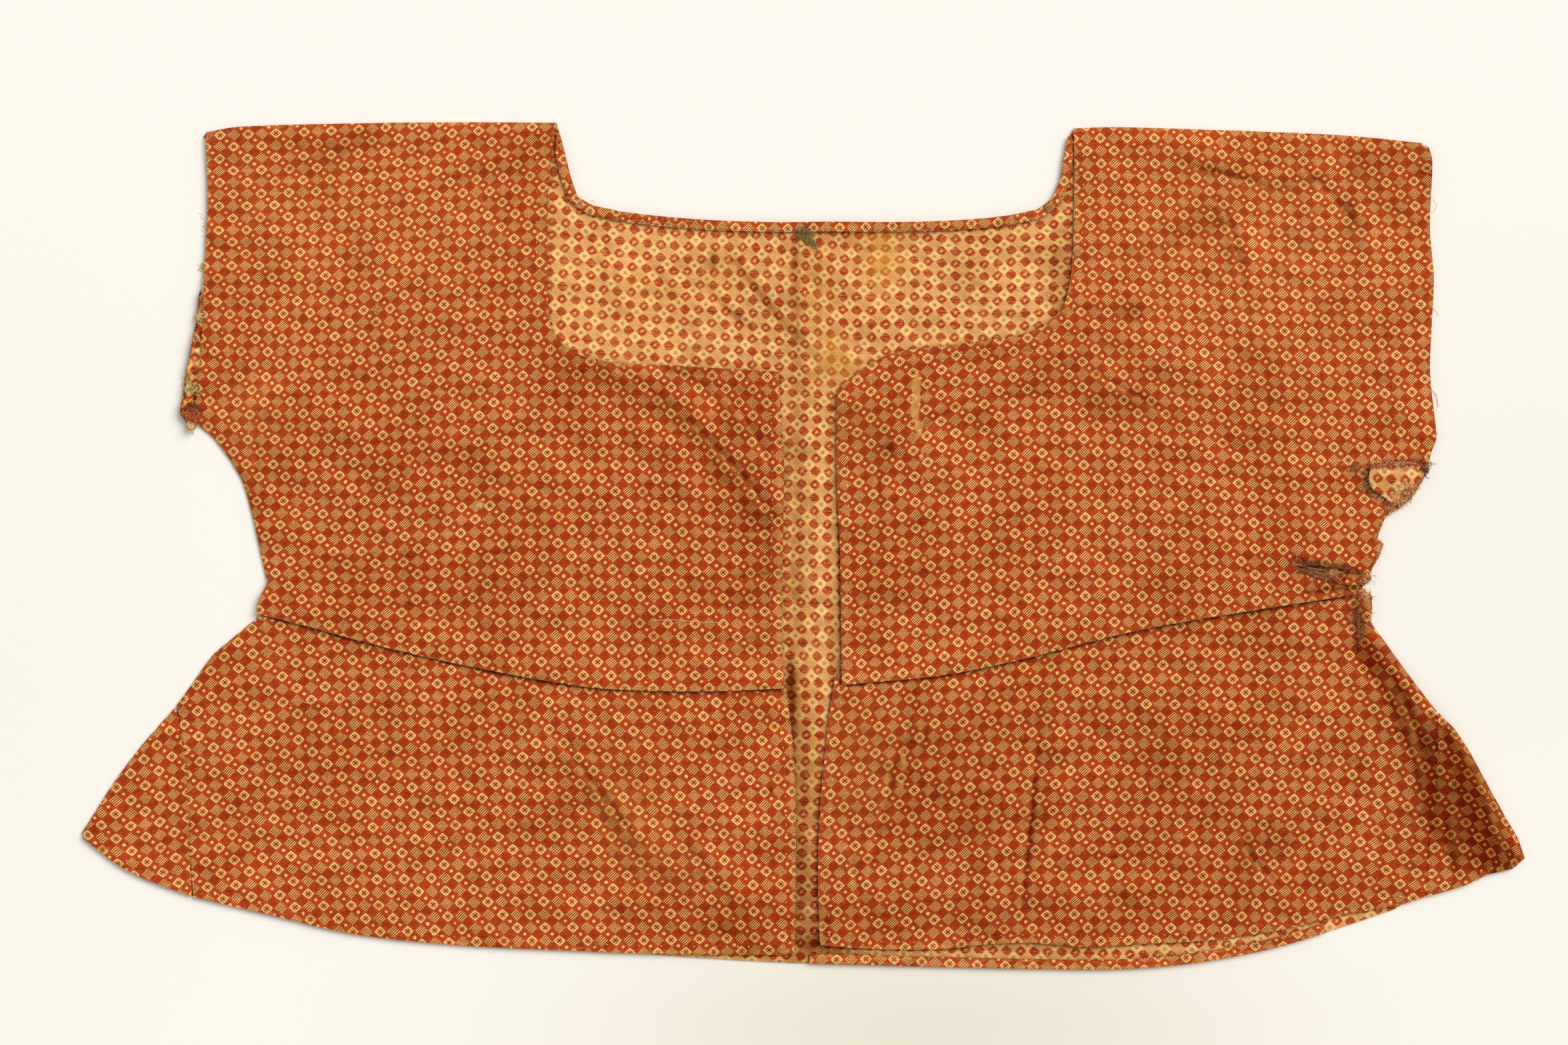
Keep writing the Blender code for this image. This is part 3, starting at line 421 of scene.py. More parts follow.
TANGLES = rows(
    Tangle,
    ("neck_knot", 1207, 352, 7, 8, 75, 34, 90, 3.2, 1.2, 0.2, Yarn.OLIVE, 21),
    ("neck_knot_tail", 1218, 364, 7, 4, -55, 16, 34, 3, 0.6, 0.18, Yarn.OLIVE, 22),
    ("neck_knot_brown", 1207, 349, 7, 7, 40, 50, 16, 2.4, 0.9, 0.16, Yarn.BROWN, 23),
    ("slit_brown", 1972, 854, 30.4, 4.4, -13, 10, 26, 8.8, 0.5, 0.15, Yarn.BROWN, 24),
    ("slit_cream", 1975, 858, 28.8, 5.4, -16, 22, 17, 5.6, 0.75, 0.14, Yarn.OLIVE, 25),
    ("slit_red", 1985, 863, 30, 4.4, -12, 25, 34, 4.6, 0.5, 0.15, Yarn.RED, 26),
    ("slit_end_red", 2046, 866, 12, 10, 10, 45, 46, 2.04, 0.6, 0.17, Yarn.RED, 27),
    ("slit_end_cream", 2050, 868, 12, 9, 0, 60, 22, 2.04, 0.6, 0.14, Yarn.CREAM, 28),
    ("slit_start_brown", 1945, 842, 6, 10, 60, 30, 11, 3.2, 0.38, 0.15, Yarn.RED, 29),
    ("flap_top_red", 2085, 697, 62, 5, 2, 40, 123, 2.72, 0.83, 0.17, Yarn.RED, 30),
    ("flap_top_brown", 2100, 698, 50, 5, 3, 50, 28, 2.38, 0.75, 0.16, Yarn.BROWN, 31),
    ("flap_top_cream", 2070, 696, 58, 5, 0, 50, 55, 2.38, 0.75, 0.14, Yarn.CREAM, 32),
    ("flap_corner_brown", 2136, 704, 8, 9, -40, 40, 35, 2.72, 1.05, 0.19, Yarn.BROWN, 33),
    ("flap_right_red", 2116, 738, 20, 8, 52, 50, 66, 2.18, 0.75, 0.17, Yarn.RED, 34),
    ("flap_right_cream", 2112, 742, 24, 8, 52, 60, 68, 2.04, 0.75, 0.14, Yarn.CREAM, 35),
    ("flap_low_red", 2092, 756, 22, 5, 25, 50, 68, 2.04, 0.6, 0.17, Yarn.RED, 36),
    ("flap_low_cream", 2090, 758, 22, 5, 25, 60, 42, 1.77, 0.6, 0.14, Yarn.CREAM, 37),
    ("flap_left_red", 2035, 700, 9, 8, 0, 50, 46, 2.18, 0.6, 0.17, Yarn.RED, 38),
    ("flap_left_olive", 2032, 703, 7, 6, 20, 50, 20, 2.04, 0.6, 0.15, Yarn.OLIVE, 39),
    ("waist_end_red", 2044, 893, 10, 7, 35, 50, 64, 2.04, 0.68, 0.17, Yarn.RED, 40),
    ("waist_end_cream", 2048, 893, 10, 7, 35, 60, 35, 2.04, 0.68, 0.14, Yarn.CREAM, 41),
    ("waist_end_low", 2038, 940, 7, 34, 0, 60, 57, 1.77, 0.3, 0.15, Yarn.RED, 42),
    ("waist_end_low_cream", 2040, 936, 7, 36, 0, 60, 60, 1.63, 0.3, 0.13, Yarn.OLIVE, 43),
    ("cuff_tuft_top", 310, 204, 3, 3, 0, 60, 28, 1.63, 0.38, 0.17, Yarn.RED, 44),
    ("cuff_tuft_white", 303, 400, 6, 4, -10, 45, 22, 2.31, 0.52, 0.16, Yarn.CREAM, 45),
    ("cuff_tuft_mid", 298, 476, 8, 5, 10, 50, 46, 2.31, 0.68, 0.16, Yarn.CREAM, 46),
    ("cuff_tuft_olive", 300, 480, 7, 4, 0, 60, 22, 1.9, 0.52, 0.15, Yarn.OLIVE, 47),
    ("scrap_threads", 284, 582, 7, 14, 55, 40, 46, 2.72, 0.75, 0.16, Yarn.CREAM, 48),
    ("scrap_olive", 290, 584, 6, 16, 60, 40, 31, 2.45, 0.6, 0.16, Yarn.OLIVE, 49),
    ("scrap_red", 288, 622, 10, 14, 60, 45, 82, 2.72, 1.05, 0.21, Yarn.RED, 50),
    ("scrap_fringe", 287, 640, 7, 7, 75, 30, 55, 2.31, 0.68, 0.15, Yarn.CREAM, 51),
    ("scrap_brown", 291, 612, 5, 12, 70, 40, 35, 2.31, 0.9, 0.19, Yarn.BROWN, 52),
    ("bodice_burst", 720, 757, 4, 7, 80, 30, 20, 1.76, 0.3, 0.12, Yarn.CREAM, 53),
    ("waist_end_brown", 2034, 930, 6, 36, 4, 50, 50, 1.9, 0.3, 0.15, Yarn.BROWN, 56),
    ("flap_face_cream", 2096, 738, 26, 9, 48, 60, 90, 1.5, 0.35, 0.12, Yarn.CREAM, 57),
    ("flap_rim_cream", 2055, 724, 3, 20, 4, 60, 46, 1.2, 0.3, 0.12, Yarn.CREAM, 58),
    ("flap_rim_low", 2068, 746, 14, 3, -32, 60, 46, 1.2, 0.3, 0.12, Yarn.CREAM, 59),
    ("flap_rim_red", 2060, 740, 16, 4, -45, 60, 26, 1.2, 0.3, 0.14, Yarn.RED, 60),
    ("flap_top_pale", 2088, 702, 44, 4, 2, 60, 60, 1.5, 0.4, 0.12, Yarn.CREAM, 61),
    ("cuff_tuft_upper", 305, 340, 3, 8, 0, 60, 14, 1.5, 0.3, 0.12, Yarn.CREAM, 62),
    ("neck_corner_left", 872, 308, 6, 5, 20, 60, 15, 2.4, 0.6, 0.12, Yarn.CREAM, 54),
    ("neck_corner_right", 1572, 312, 8, 5, 40, 60, 18, 2.4, 0.6, 0.12, Yarn.OLIVE, 55),
)

# Single threads, by yarn and thickness in mm, through pixels
THREADS = [
    (Yarn.CREAM, 0.18, [
        [(309, 196), (314, 198), (324, 198)], [(312, 200), (311, 208), (308, 213)],
        [(314, 240), (307, 249), (309, 261), (314, 262)], [(313, 241), (310, 250), (311, 261), (315, 262)],
        [(297, 319), (303, 321), (301, 326), (311, 329)], [(301, 355), (304, 354), (308, 353)],
        [(305, 358), (308, 361), (312, 360)], [(303, 422), (302, 430), (303, 436), (306, 436)],
        [(306, 418), (304, 430), (303, 446)], [(276, 566), (281, 564), (281, 573), (276, 572), (276, 566)],
        [(275, 590), (279, 586), (285, 583)], [(2138, 646), (2150, 654), (2156, 654), (2158, 648)],
        [(2143, 575), (2149, 585), (2156, 594), (2158, 611)], [(2150, 586), (2155, 590), (2160, 608), (2162, 609)],
        [(868, 299), (871, 293), (873, 300)], [(885, 303), (889, 299), (892, 304)],
        [(2152, 300), (2157, 306), (2154, 314), (2150, 318)], [(2150, 462), (2156, 466), (2159, 474)],
        [(2068, 700), (2060, 690), (2064, 684), (2070, 690)], [(1262, 1012), (1270, 1020), (1282, 1018)],
    ]),
    (Yarn.CREAM, 0.26, [
        [(978, 931), (1010, 930), (1045, 933), (1084, 934)], [(296, 404), (301, 406), (309, 404)],
        [(301, 395), (305, 396), (309, 399)], [(1942, 846), (1965, 852), (1990, 856)],
        [(455, 1052), (461, 1055), (468, 1053)],
    ]),
    (Yarn.OLIVE, 0.32, [
        [(1198, 343), (1204, 355), (1211, 364), (1219, 370), (1224, 374)],
        [(1201, 349), (1195, 358), (1202, 368), (1212, 362), (1207, 350), (1199, 346)],
        [(1188, 341), (1200, 345), (1213, 342), (1219, 352)], [(1213, 356), (1222, 362), (1226, 376)],
        [(1205, 353), (1212, 350), (1218, 358), (1213, 368)],
    ]),
    (Yarn.BROWN, 0.2, [
        [(1942, 838), (1956, 845), (1975, 850), (2000, 853)], [(1948, 842), (1966, 855), (1986, 864)],
        [(1944, 848), (1960, 860), (1978, 868)], [(2027, 860), (2040, 859), (2052, 862)],
    ]),
]


class Fray(NamedTuple):
    """A frayed edge through pixels; spacing, length and thickness in mm."""

    name: str
    yarn: Yarn
    pitch: float
    length: float
    thick: float
    spread: float
    spots: Sequence[tuple[float, float]]


LEFT_CUFF = [(270, 610), (278, 560), (290, 515), (300, 465), (306, 400), (311, 330), (312, 280), (309, 215)]
RIGHT_CUFF = [(2148, 240), (2146, 330), (2151, 410), (2149, 480), (2146, 560), (2152, 620), (2156, 657)]
FIRST_FRAY_SEED = 60
FRAYS = rows(
    Fray,
    ("torn_red", Yarn.RED, 0.32, 1.5, 0.20, 0.9,
     [(2147, 680), (2143, 700), (2130, 730), (2108, 758), (2085, 768), (2068, 800), (2066, 812)]),
    ("torn_cream", Yarn.CREAM, 0.6, 1.4, 0.16, 1.0,
     [(2145, 690), (2128, 734), (2104, 760), (2085, 770), (2070, 795), (2066, 812)]),
    ("torn_low_red", Yarn.RED, 0.35, 1.3, 0.20, 0.9,
     [(2072, 812), (2074, 820), (2068, 836), (2057, 853), (2053, 870), (2044, 882)]),
    ("torn_low_cream", Yarn.CREAM, 0.7, 1.6, 0.16, 1.0, [(2073, 810), (2070, 832), (2055, 860), (2034, 884)]),
    ("skirt_torn", Yarn.RED, 0.35, 1.4, 0.22, 1.0, [(2036, 890), (2056, 893), (2059, 905), (2058, 925), (2060, 945)]),
    ("skirt_torn_cream", Yarn.CREAM, 0.6, 1.6, 0.16, 1.0, [(2040, 890), (2058, 894), (2058, 920), (2061, 950)]),
    ("cuff_red", Yarn.RED, 1.1, 0.9, 0.20, 0.8, LEFT_CUFF),
    ("cuff_cream", Yarn.CREAM, 1.9, 1.0, 0.16, 1.0, LEFT_CUFF),
    ("cuff_right", Yarn.RED, 1.4, 0.8, 0.18, 0.8, [*RIGHT_CUFF, (2147, 680)]),
    ("cuff_right_cream", Yarn.CREAM, 3.0, 1.0, 0.15, 1.0, RIGHT_CUFF),
    ("slit_above", Yarn.BROWN, 0.6, 1.6, 0.18, 1.0, [(2030, 852), (2000, 848), (1965, 843), (1942, 838)]),
    ("slit_below", Yarn.BROWN, 0.6, 1.8, 0.18, 1.0, [(1942, 850), (1960, 860), (1985, 868), (2010, 868)]),
    ("flap_left", Yarn.CREAM, 0.5, 1.1, 0.16, 1.0, [(2054, 700), (2051, 722), (2057, 738), (2074, 746), (2090, 757)]),
)


class Seam(NamedTuple):
    """A sewn line through pixels; stitch sizes in mm."""

    name: str
    yarn: Yarn
    pitch: float
    length: float
    thick: float
    slant: float
    spots: Sequence[tuple[float, float]]


FIRST_SEAM_SEED = 3
SEAMS = rows(
    Seam,
    ("neck_left", Yarn.CREAM, 4.6, 1.3, 0.30, 0.5,
     [(807, 196), (805, 300), (805, 400), (811, 500), (826, 526), (860, 546), (910, 558), (1006, 563),
      (1083, 568), (1152, 572)]),
    ("neck_right", Yarn.CREAM, 4.4, 1.4, 0.32, 0.5,
     [(1624, 205), (1625, 268), (1623, 363), (1620, 418), (1611, 457), (1594, 485), (1568, 503), (1518, 518),
      (1421, 531), (1375, 536), (1330, 548), (1300, 567), (1270, 590)]),
    ("edge_left", Yarn.CREAM, 4.4, 1.3, 0.30, 0.4,
     [(1155, 592), (1159, 690), (1158, 778), (1156, 900), (1158, 1008)]),
    ("edge_right", Yarn.CREAM, 4.4, 1.3, 0.30, 0.4,
     [(1270, 600), (1271, 720), (1275, 824), (1277, 976), (1278, 1018)]),
    ("skirt_edge_left", Yarn.CREAM, 4.4, 1.3, 0.30, 0.4,
     [(1166, 1050), (1175, 1122), (1179, 1233), (1178, 1412)]),
    ("skirt_edge_right", Yarn.CREAM, 4.4, 1.3, 0.30, 0.4,
     [(1263, 1040), (1257, 1088), (1246, 1196), (1242, 1307), (1244, 1403)]),
    ("hem_left", Yarn.CREAM, 5.0, 1.2, 0.28, 0.6,
     [(137, 1253), (178, 1284), (220, 1307), (290, 1333), (417, 1363), (529, 1389), (685, 1406), (820, 1413),
      (968, 1419), (1172, 1421)]),
    ("hem_right", Yarn.CREAM, 5.0, 1.2, 0.28, 0.6,
     [(1240, 1407), (1335, 1413), (1421, 1412), (1483, 1405), (1552, 1403), (1625, 1409), (1720, 1404),
      (1814, 1399), (1918, 1384), (2007, 1363), (2107, 1344), (2200, 1316), (2268, 1292)]),
    ("waist_left", Yarn.BROWN, 2.6, 0.7, 0.18, 0.3,
     [(390, 914), (454, 932), (560, 961), (700, 993), (875, 1025), (968, 1031), (1079, 1032), (1170, 1028)]),
    ("waist_right", Yarn.BROWN, 2.6, 0.7, 0.18, 0.3,
     [(1268, 1023), (1318, 1018), (1404, 1010), (1490, 994), (1569, 976), (1700, 943), (1861, 914),
      (1950, 900), (2025, 888)]),
    ("neck_hem", Yarn.BROWN, 2.4, 1.2, 0.28, 0.4,
     [(839, 245), (844, 268), (856, 301), (884, 320), (928, 329), (1006, 338), (1083, 343), (1178, 345),
      (1236, 344), (1356, 345), (1451, 341), (1516, 335), (1562, 326), (1588, 304), (1600, 272)]),
    ("back_hem", Yarn.CREAM, 5.2, 1.6, 0.30, 0.3,
     [(1230, 1426), (1300, 1428), (1400, 1430), (1500, 1432), (1640, 1435), (1760, 1431), (1850, 1415),
      (1940, 1390)]),
)

# Scraps: name, face, outline in pixels, crumple in mm, print, and soiling with some painted shade
SCRAPS = [
    ("cuff_edge_end", Side.RIGHT,
     [(305, 437), (305, 480), (303, 500), (299, 518), (289, 518), (291, 500), (295, 484), (297, 460), (300, 437)],
     0.5, rows(Pin, (302, 441, 0, 0), (300, 480, 0, -1), (341, 443, 1, 0), (294, 508, -0.5, -1.5)), ()),
    ("cuff_scrap_top", Side.WRONG,
     [(301, 514), (302, 540), (299, 560), (297, 580), (293, 602), (277, 600), (279, 580), (279, 562), (283, 540),
      (289, 514)],
     0.9, rows(Pin, (283, 546, 0, 0), (324, 546, 1, 0), (284, 585, 0, -1), (304, 566, 0.5, -0.5)),
     [Stain(292, 585, 12, 12, 0, 0.4)]),
    ("cuff_scrap_end", Side.RIGHT,
     [(292, 596), (294, 614), (293, 628), (296, 640), (288, 647), (281, 641), (278, 631), (272, 624), (272, 608),
      (277, 596)],
     1.6, rows(Pin, (274, 605, 0, 0), (300, 590, 0.8, 0.3), (280, 644, 0, -1), (305, 620, 0.7, -0.6)),
     [Stain(290, 622, 8, 14, 0, 1.0)]),
    ("slit_lip", Side.RIGHT,
     [(1996, 866), (2008, 861), (2022, 858), (2038, 860), (2052, 862), (2057, 867), (2050, 874), (2034, 878),
      (2014, 877), (2000, 872)],
     0.3, BODICE_RIGHT_PINS, [Stain(2020, 858, 30, 6, 0, 1.0)]),
]


def spline(points: Array, step: float) -> Array:
    """A smooth line through points.

    Args:
        points: rows of two or three coordinates.
        step: spacing of the result, in metres.

    Returns:
        Points about one step apart.
    """
    ends = np.vstack([2 * points[0] - points[1], points, 2 * points[-1] - points[-2]])
    found = [points[0]]
    for a, b, c, d in zip(ends, ends[1:], ends[2:], ends[3:]):
        parts = max(1, int(round(np.linalg.norm(c - b) / step)))
        for t in np.arange(1, parts + 1) / parts:
            found.append(
                0.5 * (2 * b + (c - a) * t + (2 * a - 5 * b + 4 * c - d) * t**2 + (3 * b - a - 3 * c + d) * t**3)
            )
    return np.array(found)


def px_line(*spots: tuple[float, float], step: float = 1.0 * MM) -> Array:
    """A smooth line through pixels of the photograph, in metres."""
    return spline(np.array([at(*spot) for spot in spots]), step)


def bell(offset: Array, breadth: float) -> Array:
    """A soft hump over an offset, 1 in its middle and about a third at its breadth."""
    return np.exp(-((offset / breadth) ** 2))


def influence(places: Array, knots: Array) -> Array:
    """Influence of every knot of a thin-plate surface on every place."""
    square = ((places[:, None, :] - knots[None, :, :]) ** 2).sum(axis=2)
    return np.where(square > 0, 0.5 * square * np.log(np.maximum(square, 1e-12)), 0.0)


def repeats(pins: Sequence[Pin], xy: Array) -> Array:
    """Carries the frame's places to the print's rows and columns, bending with the cloth.

    Args:
        pins: ring positions and their repeats.
        xy: rows of x and y, in metres.

    Returns:
        Rows of u and v, in repeats.
    """
    knots, places = np.array([at(p.px, p.py) for p in pins]) / REPEAT, xy / REPEAT
    target, count = np.array([(p.u, p.v) for p in pins]), len(pins)
    plane, flat = (np.hstack([np.ones((len(spots), 1)), spots]) for spots in (knots, places))
    bent = influence(knots, knots) + PIN_EASE * np.eye(count)
    system = np.block([[bent, plane], [plane.T, np.zeros((3, 3))]])
    weights = np.linalg.lstsq(system, np.vstack([target, np.zeros((3, 2))]), rcond=None)[0]
    return influence(places, knots) @ weights[:count] + flat @ weights[count:]


def read(items: bpy.types.bpy_prop_collection, name: str, kind: type) -> Array:
    """A property of a mesh's elements.

    Args:
        items: vertices or triangles.
        name: of the property, which has three numbers.
        kind: of number.

    Returns:
        One row for each element.
    """
    values = np.empty(len(items) * 3, kind)
    items.foreach_get(name, values)
    return values.reshape(-1, 3)


class TopSurface:
    """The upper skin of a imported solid: its outlines, and its height anywhere."""

    WELD_GRID = 1e6
    FACES_UP = 0.04

    def __init__(self, solid: Piece) -> None:
        """Reads the solid, whose triangles are welded on a copy.

        Args:
            solid: a CAD node of the frame.
        """
        mesh = solid.data
        mesh.calc_loop_triangles()
        co = read(mesh.vertices, "co", np.float32).astype(float)
        tris = read(mesh.loop_triangles, "vertices", np.int32)
        _, first, index = np.unique(np.round(co * self.WELD_GRID), axis=0, return_index=True, return_inverse=True)
        self.co = co[first]
        self.tris = index.reshape(-1)[tris]
        self.tree = BVHTree.FromPolygons(self.co.tolist(), self.tris.tolist())
        self.loops = self.outlines(self.upper())

    def upper(self) -> Array:
        """Finds the largest connected region that faces up.

        Returns:
            Its triangles.
        """
        a, b, c = (self.co[self.tris[:, n]] for n in range(3))
        normal = np.cross(b - a, c - a)
        size = np.linalg.norm(normal, axis=1)
        up = self.tris[normal[:, 2] > self.FACES_UP * np.maximum(size, 1e-15)]
        group, before = np.arange(len(self.co)), None
        while before is None or (group != before).any():
            before = group.copy()
            np.minimum.at(group, up.reshape(-1), np.repeat(group[up].min(axis=1), 3))
            group = group[group]
        names = group[up[:, 0]]
        return up[names == np.bincount(names).argmax()]

    def outlines(self, tris: Array) -> list[Array]:
        """Closed loops round a region.

        Args:
            tris: the region's triangles.

        Returns:
            The loops, the outer one first.
        """
        edges = {(int(t[n]), int(t[(n + 1) % 3])) for t in tris for n in range(3)}
        follow = {a: b for a, b in edges if (b, a) not in edges}
        loops = []
        while follow:
            start, place = next(iter(follow.items()))
            loop = [start]
            del follow[start]
            while place != start and place in follow:
                loop.append(place)
                place = follow.pop(place)
            if len(loop) > 2:
                loops.append(self.co[loop])
        return sorted(loops, key=lambda loop: -abs(ring_area(loop)))

    def height(self, x: float, y: float) -> float:
        """Top of the solid over a place.

        Args:
            x, y: the place, in metres.

        Returns:
            Its height, or that of the nearest point beside the solid.
        """
        hit = self.tree.ray_cast(Vector((x, y, RAY_FROM)), DOWN)[0]
        if hit is None:
            hit = self.tree.find_nearest(Vector((x, y, 3 * MM)))[0]
        return hit.z


def ring_area(loop: Array) -> float:
    """Signed area within a closed loop, seen from above."""
    x, y = loop[:, 0], loop[:, 1]
    return 0.5 * float(np.dot(x, np.roll(y, -1)) - np.dot(y, np.roll(x, -1)))


def refined(loop: Array, step: float) -> Array:
    """A closed loop with its gentle bends smoothed.

    Args:
        loop: its points.
        step: spacing of the result, in metres.

    Returns:
        Points about one step apart.
    """
    found = []
    for a, b in zip(loop, np.roll(loop, -1, axis=0)):
        parts = max(1, int(round(np.linalg.norm((b - a)[:2]) / step)))
        found += [a + (b - a) * part / parts for part in range(parts)]
    points = np.array(found)
    for _ in range(3):
        before, after = np.roll(points, 1, axis=0), np.roll(points, -1, axis=0)
        arrive, leave = (points - before)[:, :2], (after - points)[:, :2]
        turn = np.arctan2(arrive[:, 0] * leave[:, 1] - arrive[:, 1] * leave[:, 0], (arrive * leave).sum(axis=1))
        soft = np.abs(turn) < CORNER
        points[soft] += 0.5 * ((before + after) / 2 - points)[soft]
    return points


def within(loop: Array, xy: Array) -> Array:
    """Tells which places lie within a closed loop.

    Args:
        loop: its points.
        xy: rows of x and y.

    Returns:
        True for each place within.
    """
    hit = np.zeros(len(xy), bool)
    for a, b in zip(loop, np.roll(loop, -1, axis=0)):
        if a[1] == b[1]:
            continue
        cross = (a[1] > xy[:, 1]) != (b[1] > xy[:, 1])
        hit ^= cross & (xy[:, 0] < a[0] + (xy[:, 1] - a[1]) / (b[1] - a[1]) * (b[0] - a[0]))
    return hit


def distance(lines: Sequence[Array], xy: Array) -> Array:
    """Distance from each place to the nearest point of some lines.

    Args:
        lines: rows of points each.
        xy: rows of x and y.

    Returns:
        One distance for each place.
    """
    points = np.vstack([line[:, :2] for line in lines])
    tree = KDTree(len(points))
    for n, (x, y) in enumerate(points):
        tree.insert((x, y, 0), n)
    tree.balance()
    return np.array([tree.find((x, y, 0))[2] for x, y in xy])


def lattice(loops: Sequence[Array], step: float) -> Array:
    """Evenly spread places within an outline and outside its holes.

    Args:
        loops: the outline and then its holes.
        step: spacing of the places, in metres.

    Returns:
        Rows of x and y, none of them close to an edge.
    """
    low, high = loops[0][:, :2].min(axis=0), loops[0][:, :2].max(axis=0)
    rows_at = np.arange(low[1], high[1], step * math.sqrt(0.75))
    places = np.vstack([
        np.column_stack([xs := np.arange(low[0] + step / 2 * (n % 2), high[0], step), np.full(len(xs), y)])
        for n, y in enumerate(rows_at)
    ])
    places = places[within(loops[0], places)]
    for hole in loops[1:]:
        places = places[~within(hole, places)]
    return places[distance(loops, places) > 0.55 * step]


def triangles(rings: Sequence[Sequence[int]], places: Array) -> tuple[Array, Array, Array]:
    """Fills an outline with triangles.

    Args:
        rings: the numbers of the places round the outline, and round each hole.
        places: all of them, in metres.

    Returns:
        The places used, the triangles, and where each given place went.
    """
    edges = [(a, b) for ring in rings for a, b in zip(ring, ring[1:] + ring[:1])]
    spots = [Vector(place) for place in places / MM]
    found, _, faces, sources, _, _ = delaunay_2d_cdt(spots, edges, [rings[0]], 1, 1e-5)
    went = np.zeros(len(places), int)
    for n, group in enumerate(sources):
        went[group] = n
    return np.array([tuple(spot) for spot in found]) * MM, np.array(faces), went


def joined_line(first: Array, second: Array) -> Array:
    """The part of one outline that runs beside another.

    Args:
        first: a closed loop.
        second: the loop it may run beside.

    Returns:
        Its points, in order.
    """
    loop, other = (refined(line, 0.8 * MM)[:, :2] for line in (first, second))
    away = np.flatnonzero(distance([other], loop) >= 1.2 * MM)
    gaps = np.diff(np.append(away, away[0] + len(loop)))
    first_one = away[gaps.argmax()] + 1
    return np.roll(loop, -first_one, axis=0)[:gaps.max() - 1]


def crease_field(creases: Iterable[Crease], xy: Array) -> tuple[Array, Array, Array]:
    """What the creases add at each place: a trough with painted shade in it, and a ridge beside it with a painted
    highlight.

    Args:
        creases: the table's rows.
        xy: rows of x and y, in metres.

    Returns:
        Heights in metres, how strong the painted shade of the crease is there, and how strong the painted highlight
        on its ridge, from 0 to 1.
    """
    rise, dark, painted_highlight = np.zeros((3, len(xy)))
    for crease in creases:
        start, middle, end = (at(*crease[n:n + 2]) for n in (0, 2, 4))
        bend = 2 * middle - (start + end) / 2
        t = np.linspace(0, 1, CREASE_PARTS + 1)[:, None]
        line = start * (1 - t) ** 2 + bend * 2 * t * (1 - t) + end * t**2
        reach = crease.reach * MM
        near = ((xy > line.min(axis=0) - 3 * reach) & (xy < line.max(axis=0) + 3 * reach)).all(axis=1)
        index = np.flatnonzero(near)
        if not len(index):
            continue
        offset = xy[index][:, None, :] - line[None, :, :]
        closest = (offset**2).sum(axis=2).argmin(axis=1)
        away = offset[np.arange(len(index)), closest]
        along = np.gradient(line, axis=0)[closest]
        along /= np.linalg.norm(along, axis=1)[:, None]
        side = (away[:, 0] * along[:, 1] - away[:, 1] * along[:, 0]) / reach
        gap = np.linalg.norm(away, axis=1) / reach
        share = closest / CREASE_PARTS
        taper = np.sqrt(np.clip(np.sin(math.pi * (0.04 + 0.92 * share)), 0, 1))
        side = np.where(gap > np.abs(side), np.sign(side) * gap, side)
        profile = np.exp(-((side - 0.35) ** 2) / 0.35) - 0.55 * np.exp(-((side + 0.45) ** 2) / 0.12)
        rise[index] += crease.rise * MM * profile * taper
        # Painted shade along the trough
        shade = crease.dark * np.exp(-((side + 0.35) ** 2) / 0.16) * taper
        dark[index] = np.maximum(dark[index], shade)
        # Painted highlight along the ridge
        lit = crease.dark * np.exp(-((side - 0.5) ** 2) / 0.22) * taper
        painted_highlight[index] = np.maximum(painted_highlight[index], lit)
    return rise, dark, painted_highlight


def patches(stains: Iterable[Stain], xy: Array) -> Array:
    """Strength of soft stains at each place.

    Args:
        stains: the table's rows.
        xy: rows of x and y, in metres.

    Returns:
        The strengths, which add up where stains overlap.
    """
    found = np.zeros(len(xy))
    for stain in stains:
        offset = (xy - at(stain.px, stain.py)) / PIXEL
        turn = math.radians(stain.turn)
        along = offset[:, 0] * math.cos(turn) + offset[:, 1] * math.sin(turn)
        across = -offset[:, 0] * math.sin(turn) + offset[:, 1] * math.cos(turn)
        found += stain.strength * np.exp(-((along / stain.wide) ** 2 + (across / stain.high) ** 2))
    return found


def shell(
    name: str, points: Array, faces: Array, thickness: float, material: Material, pins: Sequence[Pin],
    marks: dict[str, Array],
) -> Piece:
    """A closed piece of printed cloth below an open surface.

    Args:
        name: of the finished object.
        points: rows of three coordinates.
        faces: rows of numbers of points, facing up.
        thickness: of the cloth, in metres.
        material: of the whole piece.
        pins: where the print lies.
        marks: strength of each stain at each point.

    Returns:
        The finished object, at the origin.
    """
    mesh = bpy.data.meshes.new(name)
    mesh.from_pydata(points.tolist(), [], faces.tolist())
    corners = np.empty(len(mesh.loops), np.int32)
    mesh.loops.foreach_get("vertex_index", corners)
    uv = repeats(pins, points[:, :2])[corners].astype(np.float32)
    mesh.uv_layers.new(name="print").data.foreach_set("uv", uv.ravel())
    for label, values in marks.items():
        mesh.attributes.new(label, "FLOAT", "POINT").data.foreach_set("value", values.astype(np.float32))
    source = bpy.data.objects.new(f"{name}_open", mesh)
    bpy.context.scene.collection.objects.link(source)
    solidify = source.modifiers.new("thickness", "SOLIDIFY")
    solidify.thickness, solidify.offset = thickness, -1
    piece = plain(source, name)
    piece.data.materials.clear()
    piece.data.materials.append(material)
    piece.data.set_sharp_from_angle(angle=SHARP)
    return piece


